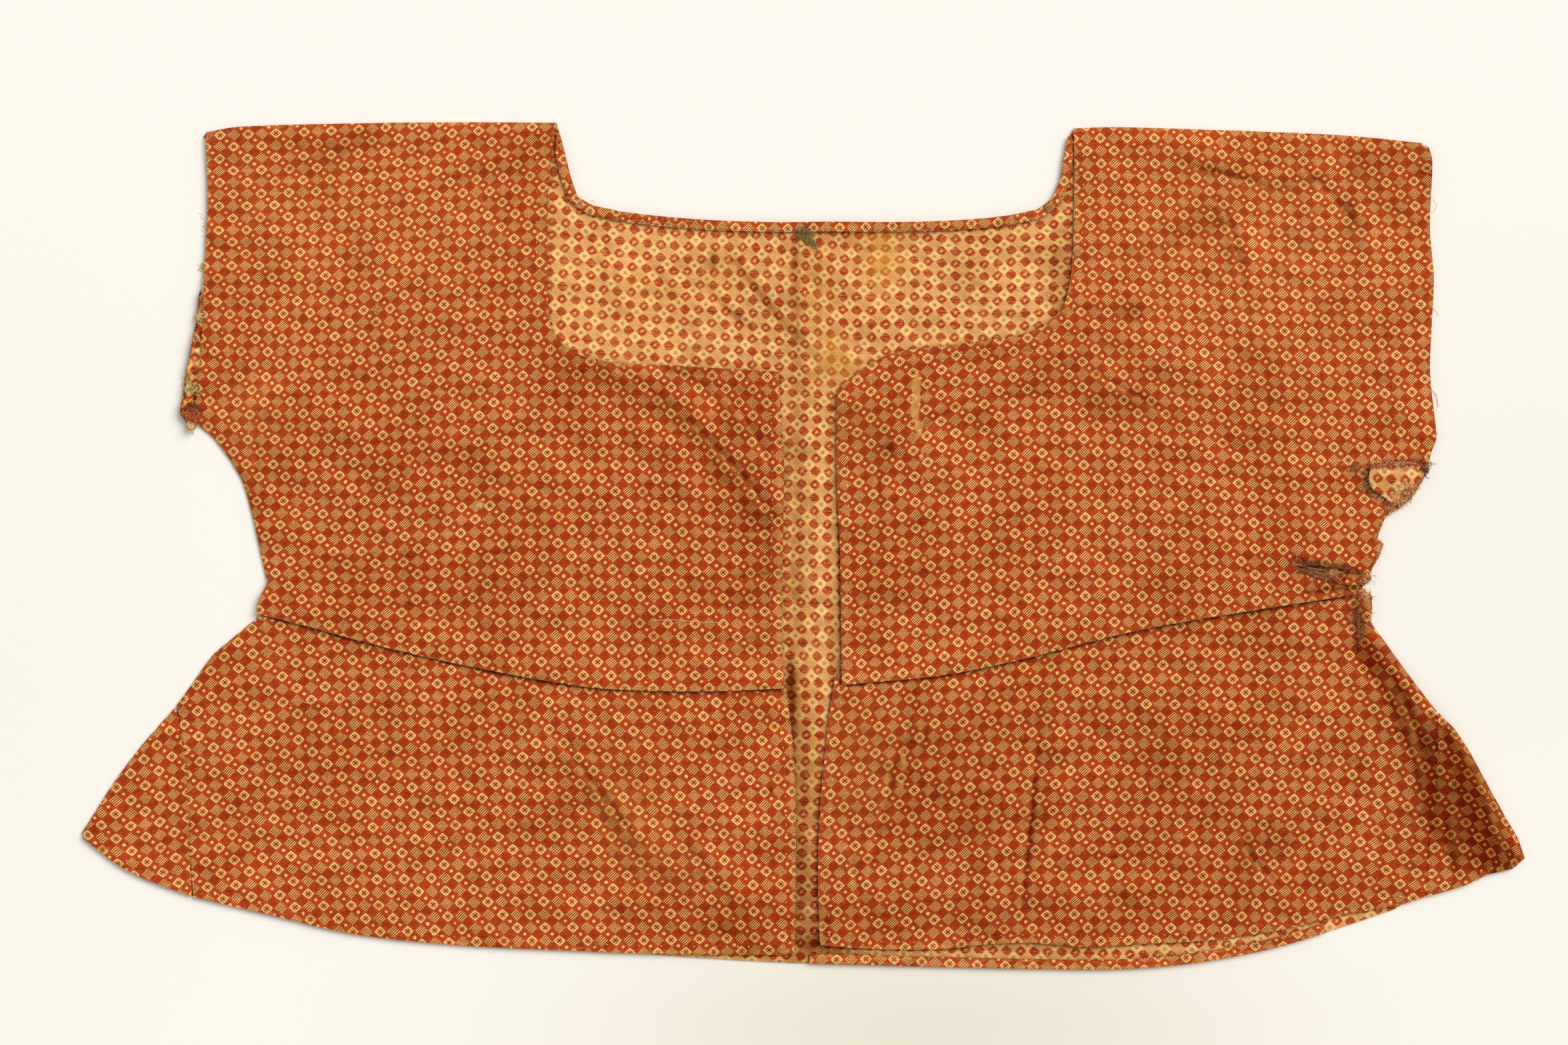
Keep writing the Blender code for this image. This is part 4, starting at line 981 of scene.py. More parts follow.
def plain(source: Piece, name: str) -> Piece:
    """Turns an object with modifiers into a plain one, no part of which is below the floor.

    Args:
        source: the object, which is removed.
        name: of the finished object.

    Returns:
        The finished object, at the origin.
    """
    bpy.context.view_layer.update()
    graph = bpy.context.evaluated_depsgraph_get()
    mesh = bpy.data.meshes.new_from_object(source.evaluated_get(graph), depsgraph=graph)
    old = source.data
    bpy.data.objects.remove(source)
    bpy.data.meshes.remove(old)
    mesh.name = name
    co = read(mesh.vertices, "co", np.float32)
    co[:, 2] = np.maximum(co[:, 2], LOWEST)
    mesh.vertices.foreach_set("co", co.ravel())
    piece = bpy.data.objects.new(name, mesh)
    bpy.context.scene.collection.objects.link(piece)
    LOG.info("%s: %d faces", name, len(mesh.polygons))
    return piece


class Tree:
    """Makes and links the nodes of a shader or geometry tree."""

    def __init__(self, tree: bpy.types.NodeTree) -> None:
        """Starts on an empty tree."""
        self.tree = tree
        tree.nodes.clear()

    def node(self, kind: str, inputs: dict | None = None, **settings: object) -> bpy.types.Node:
        """Makes one node.

        Args:
            kind: the node's class name.
            inputs: values or sockets by input name or number.
            settings: the node's own properties.

        Returns:
            The node.
        """
        node = self.tree.nodes.new(kind)
        for key, value in settings.items():
            setattr(node, key, value)
        for key, value in (inputs or {}).items():
            socket = node.inputs[key]
            source = value.socket if isinstance(value, Value) else value
            if isinstance(source, Socket):
                self.tree.links.new(source, socket)
            else:
                socket.default_value = source
        return node

    def value(self, kind: str, output: int | str, inputs: dict | None = None, **settings: object) -> "Value":
        """One output of a new node, ready for arithmetic."""
        return Value(self, self.node(kind, inputs, **settings).outputs[output])

    def vector_math(self, operation: str, first: object, second: object) -> Socket:
        """Two inputs through one Vector Math node, where a scale's second is a number."""
        last = 3 if operation == "SCALE" else 1
        return self.node("ShaderNodeVectorMath", {0: first, last: second}, operation=operation).outputs[0]

    def mix(self, share: object, first: object, second: object, blend: str = "MIX") -> Socket:
        """Two colours mixed.

        Args:
            share: of the second, held between 0 and 1.
            first: a finish or a socket.
            second: the same.
            blend: the way they mix.

        Returns:
            The colour.
        """
        colours = {n: c.linear() if isinstance(c, Finish) else c for n, c in ((6, first), (7, second))}
        settings = {"data_type": "RGBA", "blend_type": blend, "clamp_factor": True}
        return self.node("ShaderNodeMix", {0: share, **colours}, **settings).outputs[2]

    def surface(self, inputs: dict[str, object]) -> None:
        """Ends a material's tree with a Principled shader."""
        shader = self.node("ShaderNodeBsdfPrincipled", inputs)
        self.node("ShaderNodeOutputMaterial", {0: shader.outputs[0]})


class Value:
    """A number in a tree, with Python's arithmetic."""

    def __init__(self, tree: Tree, socket: Socket) -> None:
        """Wraps a socket of the tree."""
        self.tree = tree
        self.socket = socket

    def math(self, operation: str, *others: object) -> "Value":
        """This value through one Math node."""
        inputs = dict(enumerate((self, *others)))
        return self.tree.value("ShaderNodeMath", 0, inputs, operation=operation)

    def flipped(self, operation: str, other: object) -> "Value":
        """A Math node with this value second."""
        return self.tree.value("ShaderNodeMath", 0, {0: other, 1: self}, operation=operation)

    def __add__(self, other: object) -> "Value":
        """The sum."""
        return self.math("ADD", other)

    def __sub__(self, other: object) -> "Value":
        """The difference."""
        return self.math("SUBTRACT", other)

    def __rsub__(self, other: object) -> "Value":
        """The difference, with this value second."""
        return self.flipped("SUBTRACT", other)

    def __mul__(self, other: object) -> "Value":
        """The product."""
        return self.math("MULTIPLY", other)

    def __truediv__(self, other: object) -> "Value":
        """The ratio."""
        return self.math("DIVIDE", other)

    def __rtruediv__(self, other: object) -> "Value":
        """The ratio, with this value second."""
        return self.flipped("DIVIDE", other)

    def __abs__(self) -> "Value":
        """The size without its sign."""
        return self.math("ABSOLUTE")

    __radd__ = __add__
    __rmul__ = __mul__

    def most(self, other: object) -> "Value":
        """The larger of two."""
        return self.math("MAXIMUM", other)

    def nearest(self) -> "Value":
        """The nearest whole number."""
        return (self + 0.5).math("FLOOR")

    def step(self, low: object, high: object) -> "Value":
        """From 0 below low to 1 above high, smoothly."""
        ends = {0: self, 1: low, 2: high, 3: 0.0, 4: 1.0}
        return self.tree.value("ShaderNodeMapRange", 0, ends, interpolation_type="SMOOTHSTEP")


def new_material(name: str) -> tuple[Material, Tree]:
    """Makes a material.

    Args:
        name: of the material.

    Returns:
        The material and its empty tree.
    """
    material = bpy.data.materials.new(name)
    material.use_nodes = True
    return material, Tree(material.node_tree)


def yarn_material(yarn: Yarn, finish: Finish) -> Material:
    """A one-colour finish, a little uneven.

    Args:
        yarn: what it is for.
        finish: its colour and roughness.

    Returns:
        The material.
    """
    material, tree = new_material(f"yarn_{yarn.value}")
    place = tree.node("ShaderNodeTexCoord").outputs["Object"]
    grain = tree.value("ShaderNodeTexNoise", 0, {"Vector": place, "Scale": 900.0, "Detail": 2.0})
    colour = tree.vector_math("SCALE", finish.linear()[:3], 0.75 + grain * 0.5)
    tree.surface({"Base Color": colour, "Roughness": finish.roughness})
    return material


@dataclass(frozen=True)
class Cell:
    """The print at each place: repeats, the cell's number, the place in the cell, and the cell's motif.

    Args:
        u, v, place: repeats across and up, and both as a vector.
        i, j: the cell's number along the two diagonals.
        a, b: place in the cell along them, from -0.5 to 0.5.
        abs_a, abs_b: the same without signs.
        wide, radius: distance from the cell's middle, square and round.
        ring, hatch, dot, solid: 1 in the cells that hold this motif.
    """

    u: Value
    v: Value
    place: Value
    i: Value
    j: Value
    a: Value
    b: Value
    abs_a: Value
    abs_b: Value
    wide: Value
    radius: Value
    ring: Value
    hatch: Value
    dot: Value
    solid: Value


class Painter:
    """Colours of the printed cloth, on both of its faces."""

    GROUND = Finish(190, 72, 31)
    DARK = Finish(156, 43, 16)
    GAP = Finish(136, 42, 12)
    RING = Finish(248, 206, 126)
    RING_WORN = Finish(234, 176, 94)
    LINE = Finish(252, 202, 124)
    WRONG_GROUND = Finish(238, 176, 106)
    WRONG_HATCH = Finish(230, 162, 100)
    WRONG_LIGHT = Finish(252, 210, 134)
    WRONG_RED = Finish(180, 58, 28)
    SHADE = Finish(104, 58, 38)
    # Tints for the painted shadow along edges, the painted fold shade, the painted highlights, and stains together
    # with painted shade
    EDGE_SHADOW = Finish(58, 26, 18)
    FOLD_SHADE_TINT = Finish(196, 182, 160)
    HIGHLIGHT_TINT = Finish(255, 196, 104)
    SOIL_AND_SHADE_TINT = Finish(182, 150, 104)
    GREYED = Finish(214, 196, 150)
    GOLD = Finish(224, 158, 58)
    WORN = Finish(234, 178, 98)

    # How far the rows wander and how ragged outlines are, in repeats
    SWAY, FUZZ = 0.055, 0.024
    # Spacing of the hatching, and place of the dots in a ring, in cells
    LINE_PITCH, SPOT_PLACE = 0.2, 0.152
    # Where a motif's soft edge begins and ends, in cells: on the right side, and on the wrong side
    LINES, LINE_ENDS, HATCH_SIDES, FLECK = (0.13, 0.28), (0.43, 0.50), (0.47, 0.50), (0.66, 0.72)
    BLOB, CORE, SPOT, DOT = (0.38, 0.50), (0.26, 0.33), (0.06, 0.112), (0.11, 0.21)
    RING_INNER, RING_OUTER, WORN_RINGS = (0.25, 0.282), (0.425, 0.465), (0.48, 0.70)
    BACK_LINES, BACK_CORE, BACK_SPOT, BACK_SLOT = (0.26, 0.44), (0.20, 0.28), (0.05, 0.11), (0.13, 0.25)
    BACK_RING, BACK_HATCH, BACK_BODY, BROKEN = (0.43, 0.48), (0.44, 0.50), (0.42, 0.52), (0.34, 0.54)
    # How strongly each kind of wear shows, and how strongly the painted fold shade and painted highlights show
    PALE_THREADS, DARK_THREADS, RUBBED, BLEACHED, RIMS = 0.9, 1.4, 0.45, 0.62, 0.5
    GREY, GREY_CLOUDS, YELLOWED, YELLOWED_MOST = 0.07, 0.32, 0.6, 0.7
    FOLD_SHADE, WRINKLES, LIT_TINT, LIT, RIDGES = 0.62, 0.40, 0.10, 0.26, 0.9

    def __init__(self, side: Side) -> None:
        """Makes the material of one face.

        Args:
            side: the face of the cloth that shows.
        """
        self.side = side
        self.material, self.tree = new_material(f"cotton_{side.value}_side")
        self.mix = self.tree.mix
        self.cell = self.cells()

    def noise(self, vector: object, scale: float, detail: float = 2.0, rough: float = 0.5) -> Value:
        """Noise from about 0 to 1."""
        inputs = {"Vector": vector, "Scale": scale, "Detail": detail, "Roughness": rough}
        return self.tree.value("ShaderNodeTexNoise", 0, inputs)

    def attribute(self, name: str) -> Value:
        """A number stored on the piece's points."""
        return self.tree.value("ShaderNodeAttribute", "Fac", attribute_name=name)

    def vector(self, x: object, y: object) -> Socket:
        """Two numbers as a vector."""
        return self.tree.node("ShaderNodeCombineXYZ", {0: x, 1: y}).outputs[0]

    def cells(self) -> Cell:
        """Divides the piece's print map into cells.

        Returns:
            What each place has of them.
        """
        tree = self.tree
        uv = tree.node("ShaderNodeUVMap", uv_map="print").outputs[0]
        parts = tree.node("ShaderNodeSeparateXYZ", {0: uv}).outputs
        u, v = Value(tree, parts[0]), Value(tree, parts[1])
        place = self.vector(u, v)
        drift = self.noise(place, 1.1, 1.0) - 0.5
        sway = self.noise(self.vector(u + 31.7, v - 12.3), 1.1, 1.0) - 0.5
        fuzz = self.noise(place, 22.0, 2.0) - 0.5
        fuzz_two = self.noise(self.vector(v + 7.1, u + 3.3), 22.0, 2.0) - 0.5
        eu = u + drift * self.SWAY + fuzz * self.FUZZ
        ev = v + sway * self.SWAY + fuzz_two * self.FUZZ
        p, q = (eu + ev) * 2.0, (eu - ev) * 2.0
        if self.side is Side.WRONG:
            p, q = q, p
        i, j = p.nearest(), q.nearest()
        a, b = p - i, q - j
        abs_a, abs_b = abs(a), abs(b)
        odd_i, odd_j = (number.math("FLOORED_MODULO", 2.0) for number in (i, j))
        even_i, even_j = 1.0 - odd_i, 1.0 - odd_j
        return Cell(
            u, v, Value(tree, place), i, j, a, b, abs_a, abs_b,
            wide=abs_a.most(abs_b), radius=(a * a + b * b).math("SQRT"),
            ring=even_i * even_j, hatch=odd_i * odd_j, dot=even_i * odd_j, solid=odd_i * even_j,
        )

    def hatch_lines(self, low: float, high: float) -> tuple[Value, Value]:
        """Five slanting lines with ragged ends.

        Args:
            low: where a line's side begins, as a share of the spacing.
            high: where it ends.

        Returns:
            The lines, and the gaps between them.
        """
        cell = self.cell
        ladder = cell.b / self.LINE_PITCH
        number = ladder.nearest()
        line = 1.0 - abs(ladder - number).step(low, high)
        seed = self.vector(cell.i * 3.7 + number, cell.j * 2.9 + number * 1.3)
        ragged = (self.noise(seed, 7.3, 0.0) - 0.5) * 0.3
        ends = 1.0 - (cell.abs_a + ragged).step(*self.LINE_ENDS)
        block = ends * (1.0 - cell.abs_b.step(*self.HATCH_SIDES)) * cell.hatch
        return line * block, (1.0 - line) * block

    def diamond_dots(self, low: float, high: float) -> Value:
        """The four dots inside a ring."""
        across, up = self.cell.abs_a - self.SPOT_PLACE, self.cell.abs_b - self.SPOT_PLACE
        return self.cell.ring * (1.0 - (across * across + up * up).math("SQRT").step(low, high))

    def right_side(self) -> Socket:
        """The printed face: red ground, cream rings, dots and hatching.

        Returns:
            The colour.
        """
        cell = self.cell
        radius, wide, place = cell.radius, cell.wide, cell.place
        chance = self.noise(self.vector(cell.i * 0.73, cell.j * 0.61), 3.1, 0.0)
        blob = cell.dot * 0.45 + cell.solid
        blob = blob * (1.0 - (radius * 0.6 + wide * 0.4).step(*self.BLOB)) * (0.25 + chance * 1.3)
        mottled = self.noise(place, 3.2, 4.0, 0.65)
        core = cell.ring * (1.0 - wide.step(*self.CORE))
        colour = self.mix((blob * 0.6 + core * 0.95) * (0.45 + mottled), self.GROUND, self.DARK)
        lines, gaps = self.hatch_lines(*self.LINES)
        colour = self.mix(gaps * (0.55 + mottled * 0.5), colour, self.GAP)
        outer = 1.0 - (wide * 0.85 + radius * 0.15).step(*self.RING_OUTER)
        ring = cell.ring * (wide * 0.66 + radius * 0.24).step(*self.RING_INNER) * outer
        spots = self.diamond_dots(*self.SPOT)
        smear = (self.noise(place, 6.0, 2.0) - 0.5) * 0.26
        dot = cell.dot * (1.0 - (radius + smear).step(*self.DOT))
        patchy = 0.84 + self.noise(place, 2.1, 3.0) * 0.34
        fleck = self.noise(self.vector(cell.u * 2.4 + cell.v, cell.v * 5.5), 3.4, 2.0, 0.6)
        flecks = cell.solid * fleck.step(*self.FLECK) * 0.55
        colour = self.mix(lines * patchy + flecks, colour, self.LINE)
        pale = self.mix(self.noise(place, 1.3, 3.0, 0.6).step(*self.WORN_RINGS), self.RING, self.RING_WORN)
        colour = self.mix(ring * patchy + spots * 0.85, colour, pale)
        return self.mix(dot * patchy * 0.95, colour, self.RING)

    def wrong_side(self) -> Socket:
        """The inner face, where the print shows through faint and ragged.

        Returns:
            The colour.
        """
        cell = self.cell
        radius, wide, place, a, b = cell.radius, cell.wide, cell.place, cell.a, cell.b
        flat = self.noise(self.vector(cell.u * 3.0, cell.v * 22.0), 1.0, 2.0)
        upright = self.noise(self.vector(cell.u * 26.0, cell.v * 4.0), 1.0, 2.0)
        broken = 0.42 + (flat * 0.7 + upright * 0.3).step(*self.BROKEN) * 0.58
        ragged = (self.noise(place, 6.5, 3.0, 0.6) - 0.5) * 0.36
        body = 1.0 - (radius * 0.5 + wide * 0.5 + ragged).step(*self.BACK_BODY)
        slot = (a * a * 2.6 + b * b * 0.8).math("SQRT") + (self.noise(place, 5.0, 2.0) - 0.5) * 0.24
        red = (cell.solid + cell.dot * slot.step(*self.BACK_SLOT)) * body
        lines, gaps = self.hatch_lines(*self.BACK_LINES)
        marks = cell.ring * (1.0 - wide.step(*self.BACK_CORE)) - self.diamond_dots(*self.BACK_SPOT)
        colour = self.mix(cell.ring * (1.0 - wide.step(*self.BACK_RING)), self.WRONG_GROUND, self.WRONG_LIGHT)
        colour = self.mix(cell.hatch * (1.0 - wide.step(*self.BACK_HATCH)), colour, self.WRONG_HATCH)
        colour = self.mix(lines * 0.5, colour, self.WRONG_LIGHT)
        uneven = 0.66 + self.noise(place, 0.7, 3.0) * 0.66
        faint = marks.most(0.0) * 0.72 + gaps * 0.62
        return self.mix((red + faint) * broken * uneven, colour, self.WRONG_RED)

    def paint(self) -> Material:
        """Finishes the material.

        Returns:
            The material, which reads the piece's print map, its stain attributes, and its attributes of painted shade
            and painted highlights.
        """
        colour = self.right_side() if self.side is Side.RIGHT else self.wrong_side()
        u, v, place = self.cell.u, self.cell.v, self.cell.place
        threads = self.noise(self.vector(u * 3.5, v * 24.0), 1.0, 2.0, 0.6)
        threads_up = self.noise(self.vector(u * 26.0, v * 3.5), 1.0, 2.0, 0.6)
        weave = (threads + threads_up) * 0.5
        colour = self.mix((weave - 0.5).most(0.0) * self.PALE_THREADS, colour, self.WORN)
        colour = self.mix((0.50 - weave).most(0.0) * self.DARK_THREADS, colour, self.SHADE, "MULTIPLY")
        colour = self.stained(colour)
        uneven = 0.8 + self.noise(place, 2.2, 3.0) * 0.4
        # Painted shade in creases, wrinkles and broad patches: the colour darkened and deepened towards itself
        shade_tinted = self.mix(1.0, colour, self.FOLD_SHADE_TINT, "MULTIPLY")
        fold_shaded = self.mix(self.FOLD_SHADE, shade_tinted, colour, "MULTIPLY")
        wrinkle = self.noise(self.vector(u * 0.55 + v * 0.2, v * 1.25), 1.0, 4.0, 0.64)
        folds = self.attribute("crease") * uneven + wrinkle.step(0.48, 0.74) * self.WRINKLES
        colour = self.mix(folds, colour, fold_shaded)
        # Painted shadow beside edges that lie on the cloth, and its own rims darkened
        colour = self.mix(self.attribute("edge") * uneven, colour, self.EDGE_SHADOW, "MULTIPLY")
        # Painted highlights on crease ridges, on lighter patches and on the tops of wrinkles
        lit = self.attribute("painted_highlight") * (0.4 + self.noise(place, 1.7, 3.0) * 0.9)
        colour = self.mix(lit * self.LIT_TINT, colour, self.HIGHLIGHT_TINT)
        bright = 1.0 + lit * self.LIT + (0.50 - wrinkle).most(0.0) * self.RIDGES
        colour = self.tree.vector_math("SCALE", colour, bright)
        # Rims rubbed pale, partly real wear and partly a painted highlight along the edges
        lit_worn_rims = self.attribute("rim_wear_and_light") * self.noise(place, 3.4, 4.0, 0.7).step(0.40, 0.62)
        colour = self.mix(lit_worn_rims * self.RIMS, colour, self.WORN)
        fine = 0.7 if self.side is Side.RIGHT else 0.3
        crumple = self.noise(place, 0.9, 3.0, 0.55) * 2.6 + self.noise(place, 0.33, 2.0) * 3.6 + wrinkle * 2.4
        height = weave * fine + self.noise(place, 3.1, 3.0, 0.6) * fine + crumple
        bump = self.tree.node("ShaderNodeBump", {"Strength": 0.7, "Distance": 0.8 * MM, "Height": height})
        finish = {"Base Color": colour, "Roughness": 0.92, "Specular IOR Level": 0.04, "Normal": bump.outputs[0]}
        self.tree.surface(finish)
        return self.material

    def stained(self, colour: Socket) -> Socket:
        """Adds rubbed and bleached places, grey clouds, yellowing, and soiling together with some painted shade.

        Args:
            colour: of the clean print.

        Returns:
            The colour.
        """
        u, v, place = self.cell.u, self.cell.v, self.cell.place
        rubbed = self.noise(self.vector(u + v * 0.4, v * 2.5), 9.0, 4.0, 0.7).step(0.64, 0.76) * self.RUBBED
        strips = (self.attribute("bleach") + (self.noise(place, 5.0, 4.0, 0.7) - 0.5) * 1.25).step(0.42, 0.62)
        colour = self.mix(strips * self.BLEACHED + rubbed, colour, self.WORN)
        cloudy = self.noise(place, 0.23, 3.0, 0.6).step(0.42, 0.70)
        colour = self.mix(self.GREY + cloudy * self.GREY_CLOUDS, colour, self.GREYED, "MULTIPLY")
        gold = self.attribute("yellow") * (0.35 + self.noise(place, 0.8, 3.0) * 0.9)
        colour = self.mix((gold * self.YELLOWED).math("MINIMUM", self.YELLOWED_MOST), colour, self.GOLD)
        # Soiling, and painted shade where the stains stand for it
        soil_and_shade = self.attribute("soil_and_shade") * (0.4 + self.noise(place, 1.1, 4.0, 0.6) * 1.2)
        return self.mix(soil_and_shade, colour, self.SOIL_AND_SHADE_TINT, "MULTIPLY")


class Relief:
    """Height of all the cloth, for what is sewn or lies on it."""

    def __init__(self, pieces: Iterable[Piece]) -> None:
        """Reads finished pieces.

        Args:
            pieces: what others lie on.
        """
        self.trees = []
        for piece in pieces:
            piece.data.calc_loop_triangles()
            points = read(piece.data.vertices, "co", np.float32)
            tris = read(piece.data.loop_triangles, "vertices", np.int32)
            self.trees.append(BVHTree.FromPolygons(points.tolist(), tris.tolist()))

    def over(self, xy: Array, lift: float) -> Array:
        """Points a little above the cloth, or above the floor beside it.

        Args:
            xy: rows of x and y.
            lift: how far above, in metres.

        Returns:
            Rows of three coordinates.
        """
        tops = []
        for x, y in xy:
            hits = (tree.ray_cast(Vector((x, y, RAY_FROM)), DOWN)[0] for tree in self.trees)
            tops.append(max([hit.z for hit in hits if hit] + [0.0]) + lift)
        return np.column_stack([xy, tops])


@dataclass
class Cloth:
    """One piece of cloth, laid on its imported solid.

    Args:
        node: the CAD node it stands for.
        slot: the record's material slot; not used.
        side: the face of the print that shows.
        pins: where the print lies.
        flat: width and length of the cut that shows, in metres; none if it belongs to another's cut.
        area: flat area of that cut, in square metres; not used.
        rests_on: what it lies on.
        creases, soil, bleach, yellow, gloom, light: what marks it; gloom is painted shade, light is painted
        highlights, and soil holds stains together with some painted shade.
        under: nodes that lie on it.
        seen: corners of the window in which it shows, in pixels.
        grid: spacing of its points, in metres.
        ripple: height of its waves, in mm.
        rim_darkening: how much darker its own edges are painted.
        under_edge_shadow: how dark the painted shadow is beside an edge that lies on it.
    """

    node: str
    slot: str
    side: Side
    pins: Sequence[Pin]
    flat: tuple[float, ...]
    area: float
    rests_on: Sequence[str]
    creases: Sequence[Crease] = ()
    soil_and_shade: Sequence[Stain] = ()
    bleach: Sequence[Stain] = ()
    yellow: Sequence[Stain] = ()
    painted_shade: Sequence[Stain] = ()
    light: Sequence[Stain] = ()
    under: Sequence[str] = ()
    seen: Sequence[tuple[float, float]] = ()
    grid: float = FINE_GRID
    ripple: float = 0.28
    rim_darkening: float = 0.13
    under_edge_shadow: float = 0.27
    joins: Sequence[Array] = ()
    piece: Piece | None = field(default=None, repr=False)

    def build(self, material: Material, surfaces: dict[str, TopSurface]) -> None:
        """Makes the shell.

        Args:
            material: of the face that shows.
            surfaces: upper skin of every solid, by node.
        """
        surface = surfaces[self.node]
        loops = [refined(loop, self.grid * 0.85) for loop in surface.loops]
        inner = lattice(loops, self.grid)
        if self.seen:
            window = np.array([at(*spot) for spot in self.seen])
            hidden = lattice(loops, HIDDEN_GRID)
            inner = np.vstack([inner[within(window, inner)], hidden[~within(window, hidden)]])
        xy, z, faces, rims = self.triangulated(surface, loops, inner)
        z = self.softened(z, faces, np.concatenate(rims))
        z += np.maximum(crease_field(self.creases, xy)[0], -DEEPEST_FOLD) + self.ripples(xy)
        z = np.maximum(z, BACK_LOWEST if self.node == "back" else FRONT_LOWEST)
        xy, z, faces = self.skirted(xy, z, faces, rims[0])
        covers = [refined(loop, self.grid) for name in self.under for loop in surfaces[name].loops]
        marks, points = self.marks(xy, rims, covers), np.column_stack([xy, z])
        self.piece = shell(f"cloth_{self.node}", points, faces, SHELL, material, self.pins, marks)

    def triangulated(
        self, surface: TopSurface, loops: Sequence[Array], inner: Array
    ) -> tuple[Array, Array, Array, list[Array]]:
        """Fills the outline with fine triangles at the solid's height.

        Args:
            surface: the solid's upper skin.
            loops: the outline and then its holes.
            inner: places within.

        Returns:
            Rows of x and y, the heights, the triangles, and the points of each loop.
        """
        starts = np.cumsum([0] + [len(loop) for loop in loops]).tolist()
        rings = [list(range(a, b)) for a, b in zip(starts, starts[1:])]
        xy, faces, went = triangles(rings, np.vstack([*(loop[:, :2] for loop in loops), inner]))
        for hole in loops[1:]:
            faces = faces[~within(hole, xy[faces].mean(axis=1))]
        rims = [went[ring] for ring in rings]
        z = np.array([surface.height(x, y) for x, y in xy])
        for rim, loop in zip(rims, loops):
            z[rim] = loop[:, 2]
        return xy, z, faces, rims

    def softened(self, z: Array, faces: Array, held: Array) -> Array:
        """Rounds the solid's facets off the folds.

        Args:
            z: the heights.
            faces: the triangles.
            held: points that stay.

        Returns:
            The new heights.
        """
        edges = np.vstack([faces[:, [0, 1]], faces[:, [1, 2]], faces[:, [2, 0]]])
        start, end = np.vstack([edges, edges[:, ::-1]]).T
        share = np.maximum(np.bincount(start, minlength=len(z)), 1)
        soft = z
        for _ in range(SMOOTHING):
            soft = 0.4 * soft + 0.6 * (np.bincount(start, weights=soft[end], minlength=len(z)) / share)
            soft[held] = z[held]
        return soft

    def ripples(self, xy: Array) -> Array:
        """Low, uneven waves of the lying cloth.

        Args:
            xy: rows of x and y.

        Returns:
            Their heights, in metres.
        """
        seed = sum(map(ord, self.node)) % 97
        return np.array([
            noise.noise(Vector((x * 26, y * 26, seed))) * self.ripple * MM
            + noise.noise(Vector((x * 85, y * 85, seed + 9))) * 0.4 * self.ripple * MM
            for x, y in xy
        ])

    def skirted(self, xy: Array, z: Array, faces: Array, rim: Array) -> tuple[Array, Array, Array]:
        """Carries a closed edge down to the surface, where the cloth turns under.

        Args:
            xy: rows of x and y.
            z: the heights.
            faces: the triangles.
            rim: the points of the outline.

        Returns:
            The same three with the skirt.
        """
        if self.node in RAW_EDGED:
            return xy, z, faces
        along = np.roll(xy[rim], -1, axis=0) - np.roll(xy[rim], 1, axis=0)
        along /= np.linalg.norm(along, axis=1)[:, None]
        under = xy[rim] + np.column_stack([-along[:, 1], along[:, 0]]) * 0.35 * MM
        low = z[rim] < ROLLED_BELOW
        first = np.flatnonzero(low & np.roll(low, -1))
        both = np.array([first, (first + 1) % len(rim)])
        used, place = np.unique(both, return_inverse=True)
        (a, b), (a2, b2) = rim[both], len(xy) + place.reshape(both.shape)
        strip = np.vstack([np.column_stack([b, a, a2]), np.column_stack([b, a2, b2])])
        z = np.concatenate([z, np.full(len(used), 0.4 * SHELL + FLOOR_GAP)])
        return np.vstack([xy, under[used]]), z, np.vstack([faces, strip])

    def marks(self, xy: Array, rims: Sequence[Array], covers: Sequence[Array]) -> dict[str, Array]:
        """How strongly the cloth is creased, dirtied and rubbed at each place, and where shade and highlights are
        painted.

        Args:
            xy: rows of x and y.
            rims: the points of each of its edges.
            covers: outlines that lie on it.

        Returns:
            The strengths by attribute.
        """
        _, dark, painted_highlight = crease_field(self.creases, xy)
        own = distance([xy[rim] for rim in rims], xy) / MM
        own += 4.0 * bell(distance(self.joins, xy), 2.0 * MM)
        # Its own rims darkened, and painted shadow beside the edges of pieces that lie on it
        edge = self.rim_darkening * bell(own, 0.6)
        if covers:
            cover = distance(covers, xy) / MM
            edge = np.maximum(edge, self.under_edge_shadow * (bell(cover, 0.85) + 0.2 * bell(cover, 2.2)))
        # Painted shade in creases and broad patches, painted highlights, painted shadow along edges, rims rubbed pale
        # and painted lighter, then the stains
        return {
            "crease": np.clip(dark + patches(self.painted_shade, xy), 0, 1.2),
            "painted_highlight": painted_highlight + patches(self.light, xy),
            "edge": edge,
            "rim_wear_and_light": bell(own - 0.7, 0.6) if self.side is Side.RIGHT else np.zeros(len(xy)),
            "soil_and_shade": patches(self.soil_and_shade, xy),
            "bleach": patches(self.bleach, xy),
            "yellow": patches(self.yellow, xy),
        }

    def turning(self, line: Array, relief: Relief, material: Material) -> Piece:
        """The seam's turning, just below two joined edges, so that they meet without a gap.

        Args:
            line: where they meet.
            relief: height of the cloth.
            material: of the face that shows.

        Returns:
            The finished strip.
        """
        along = np.gradient(line, axis=0)
        across = np.column_stack([-along[:, 1], along[:, 0]]) / np.linalg.norm(along, axis=1)[:, None]
        sides = [relief.over(line + across * reach * MM, -0.2 * MM) for reach in (-0.5, 0.0, 0.5)]
        sides[1][:, 2] = (sides[0][:, 2] + sides[2][:, 2]) / 2
        points, count = np.vstack(sides), len(line)
        corner = np.delete(np.arange(2 * count), [count - 1, 2 * count - 1])
        quads = corner[:, None] + [count, count + 1, 1, 0]
        # Painted shade over the whole strip, more under the broad patches of painted shade
        marks = {"crease": np.clip(0.4 + patches(self.painted_shade, points[:, :2]), 0, 1.2)}
        return shell(f"{self.node}_turning", points, quads, 0.25 * MM, material, self.pins, marks)

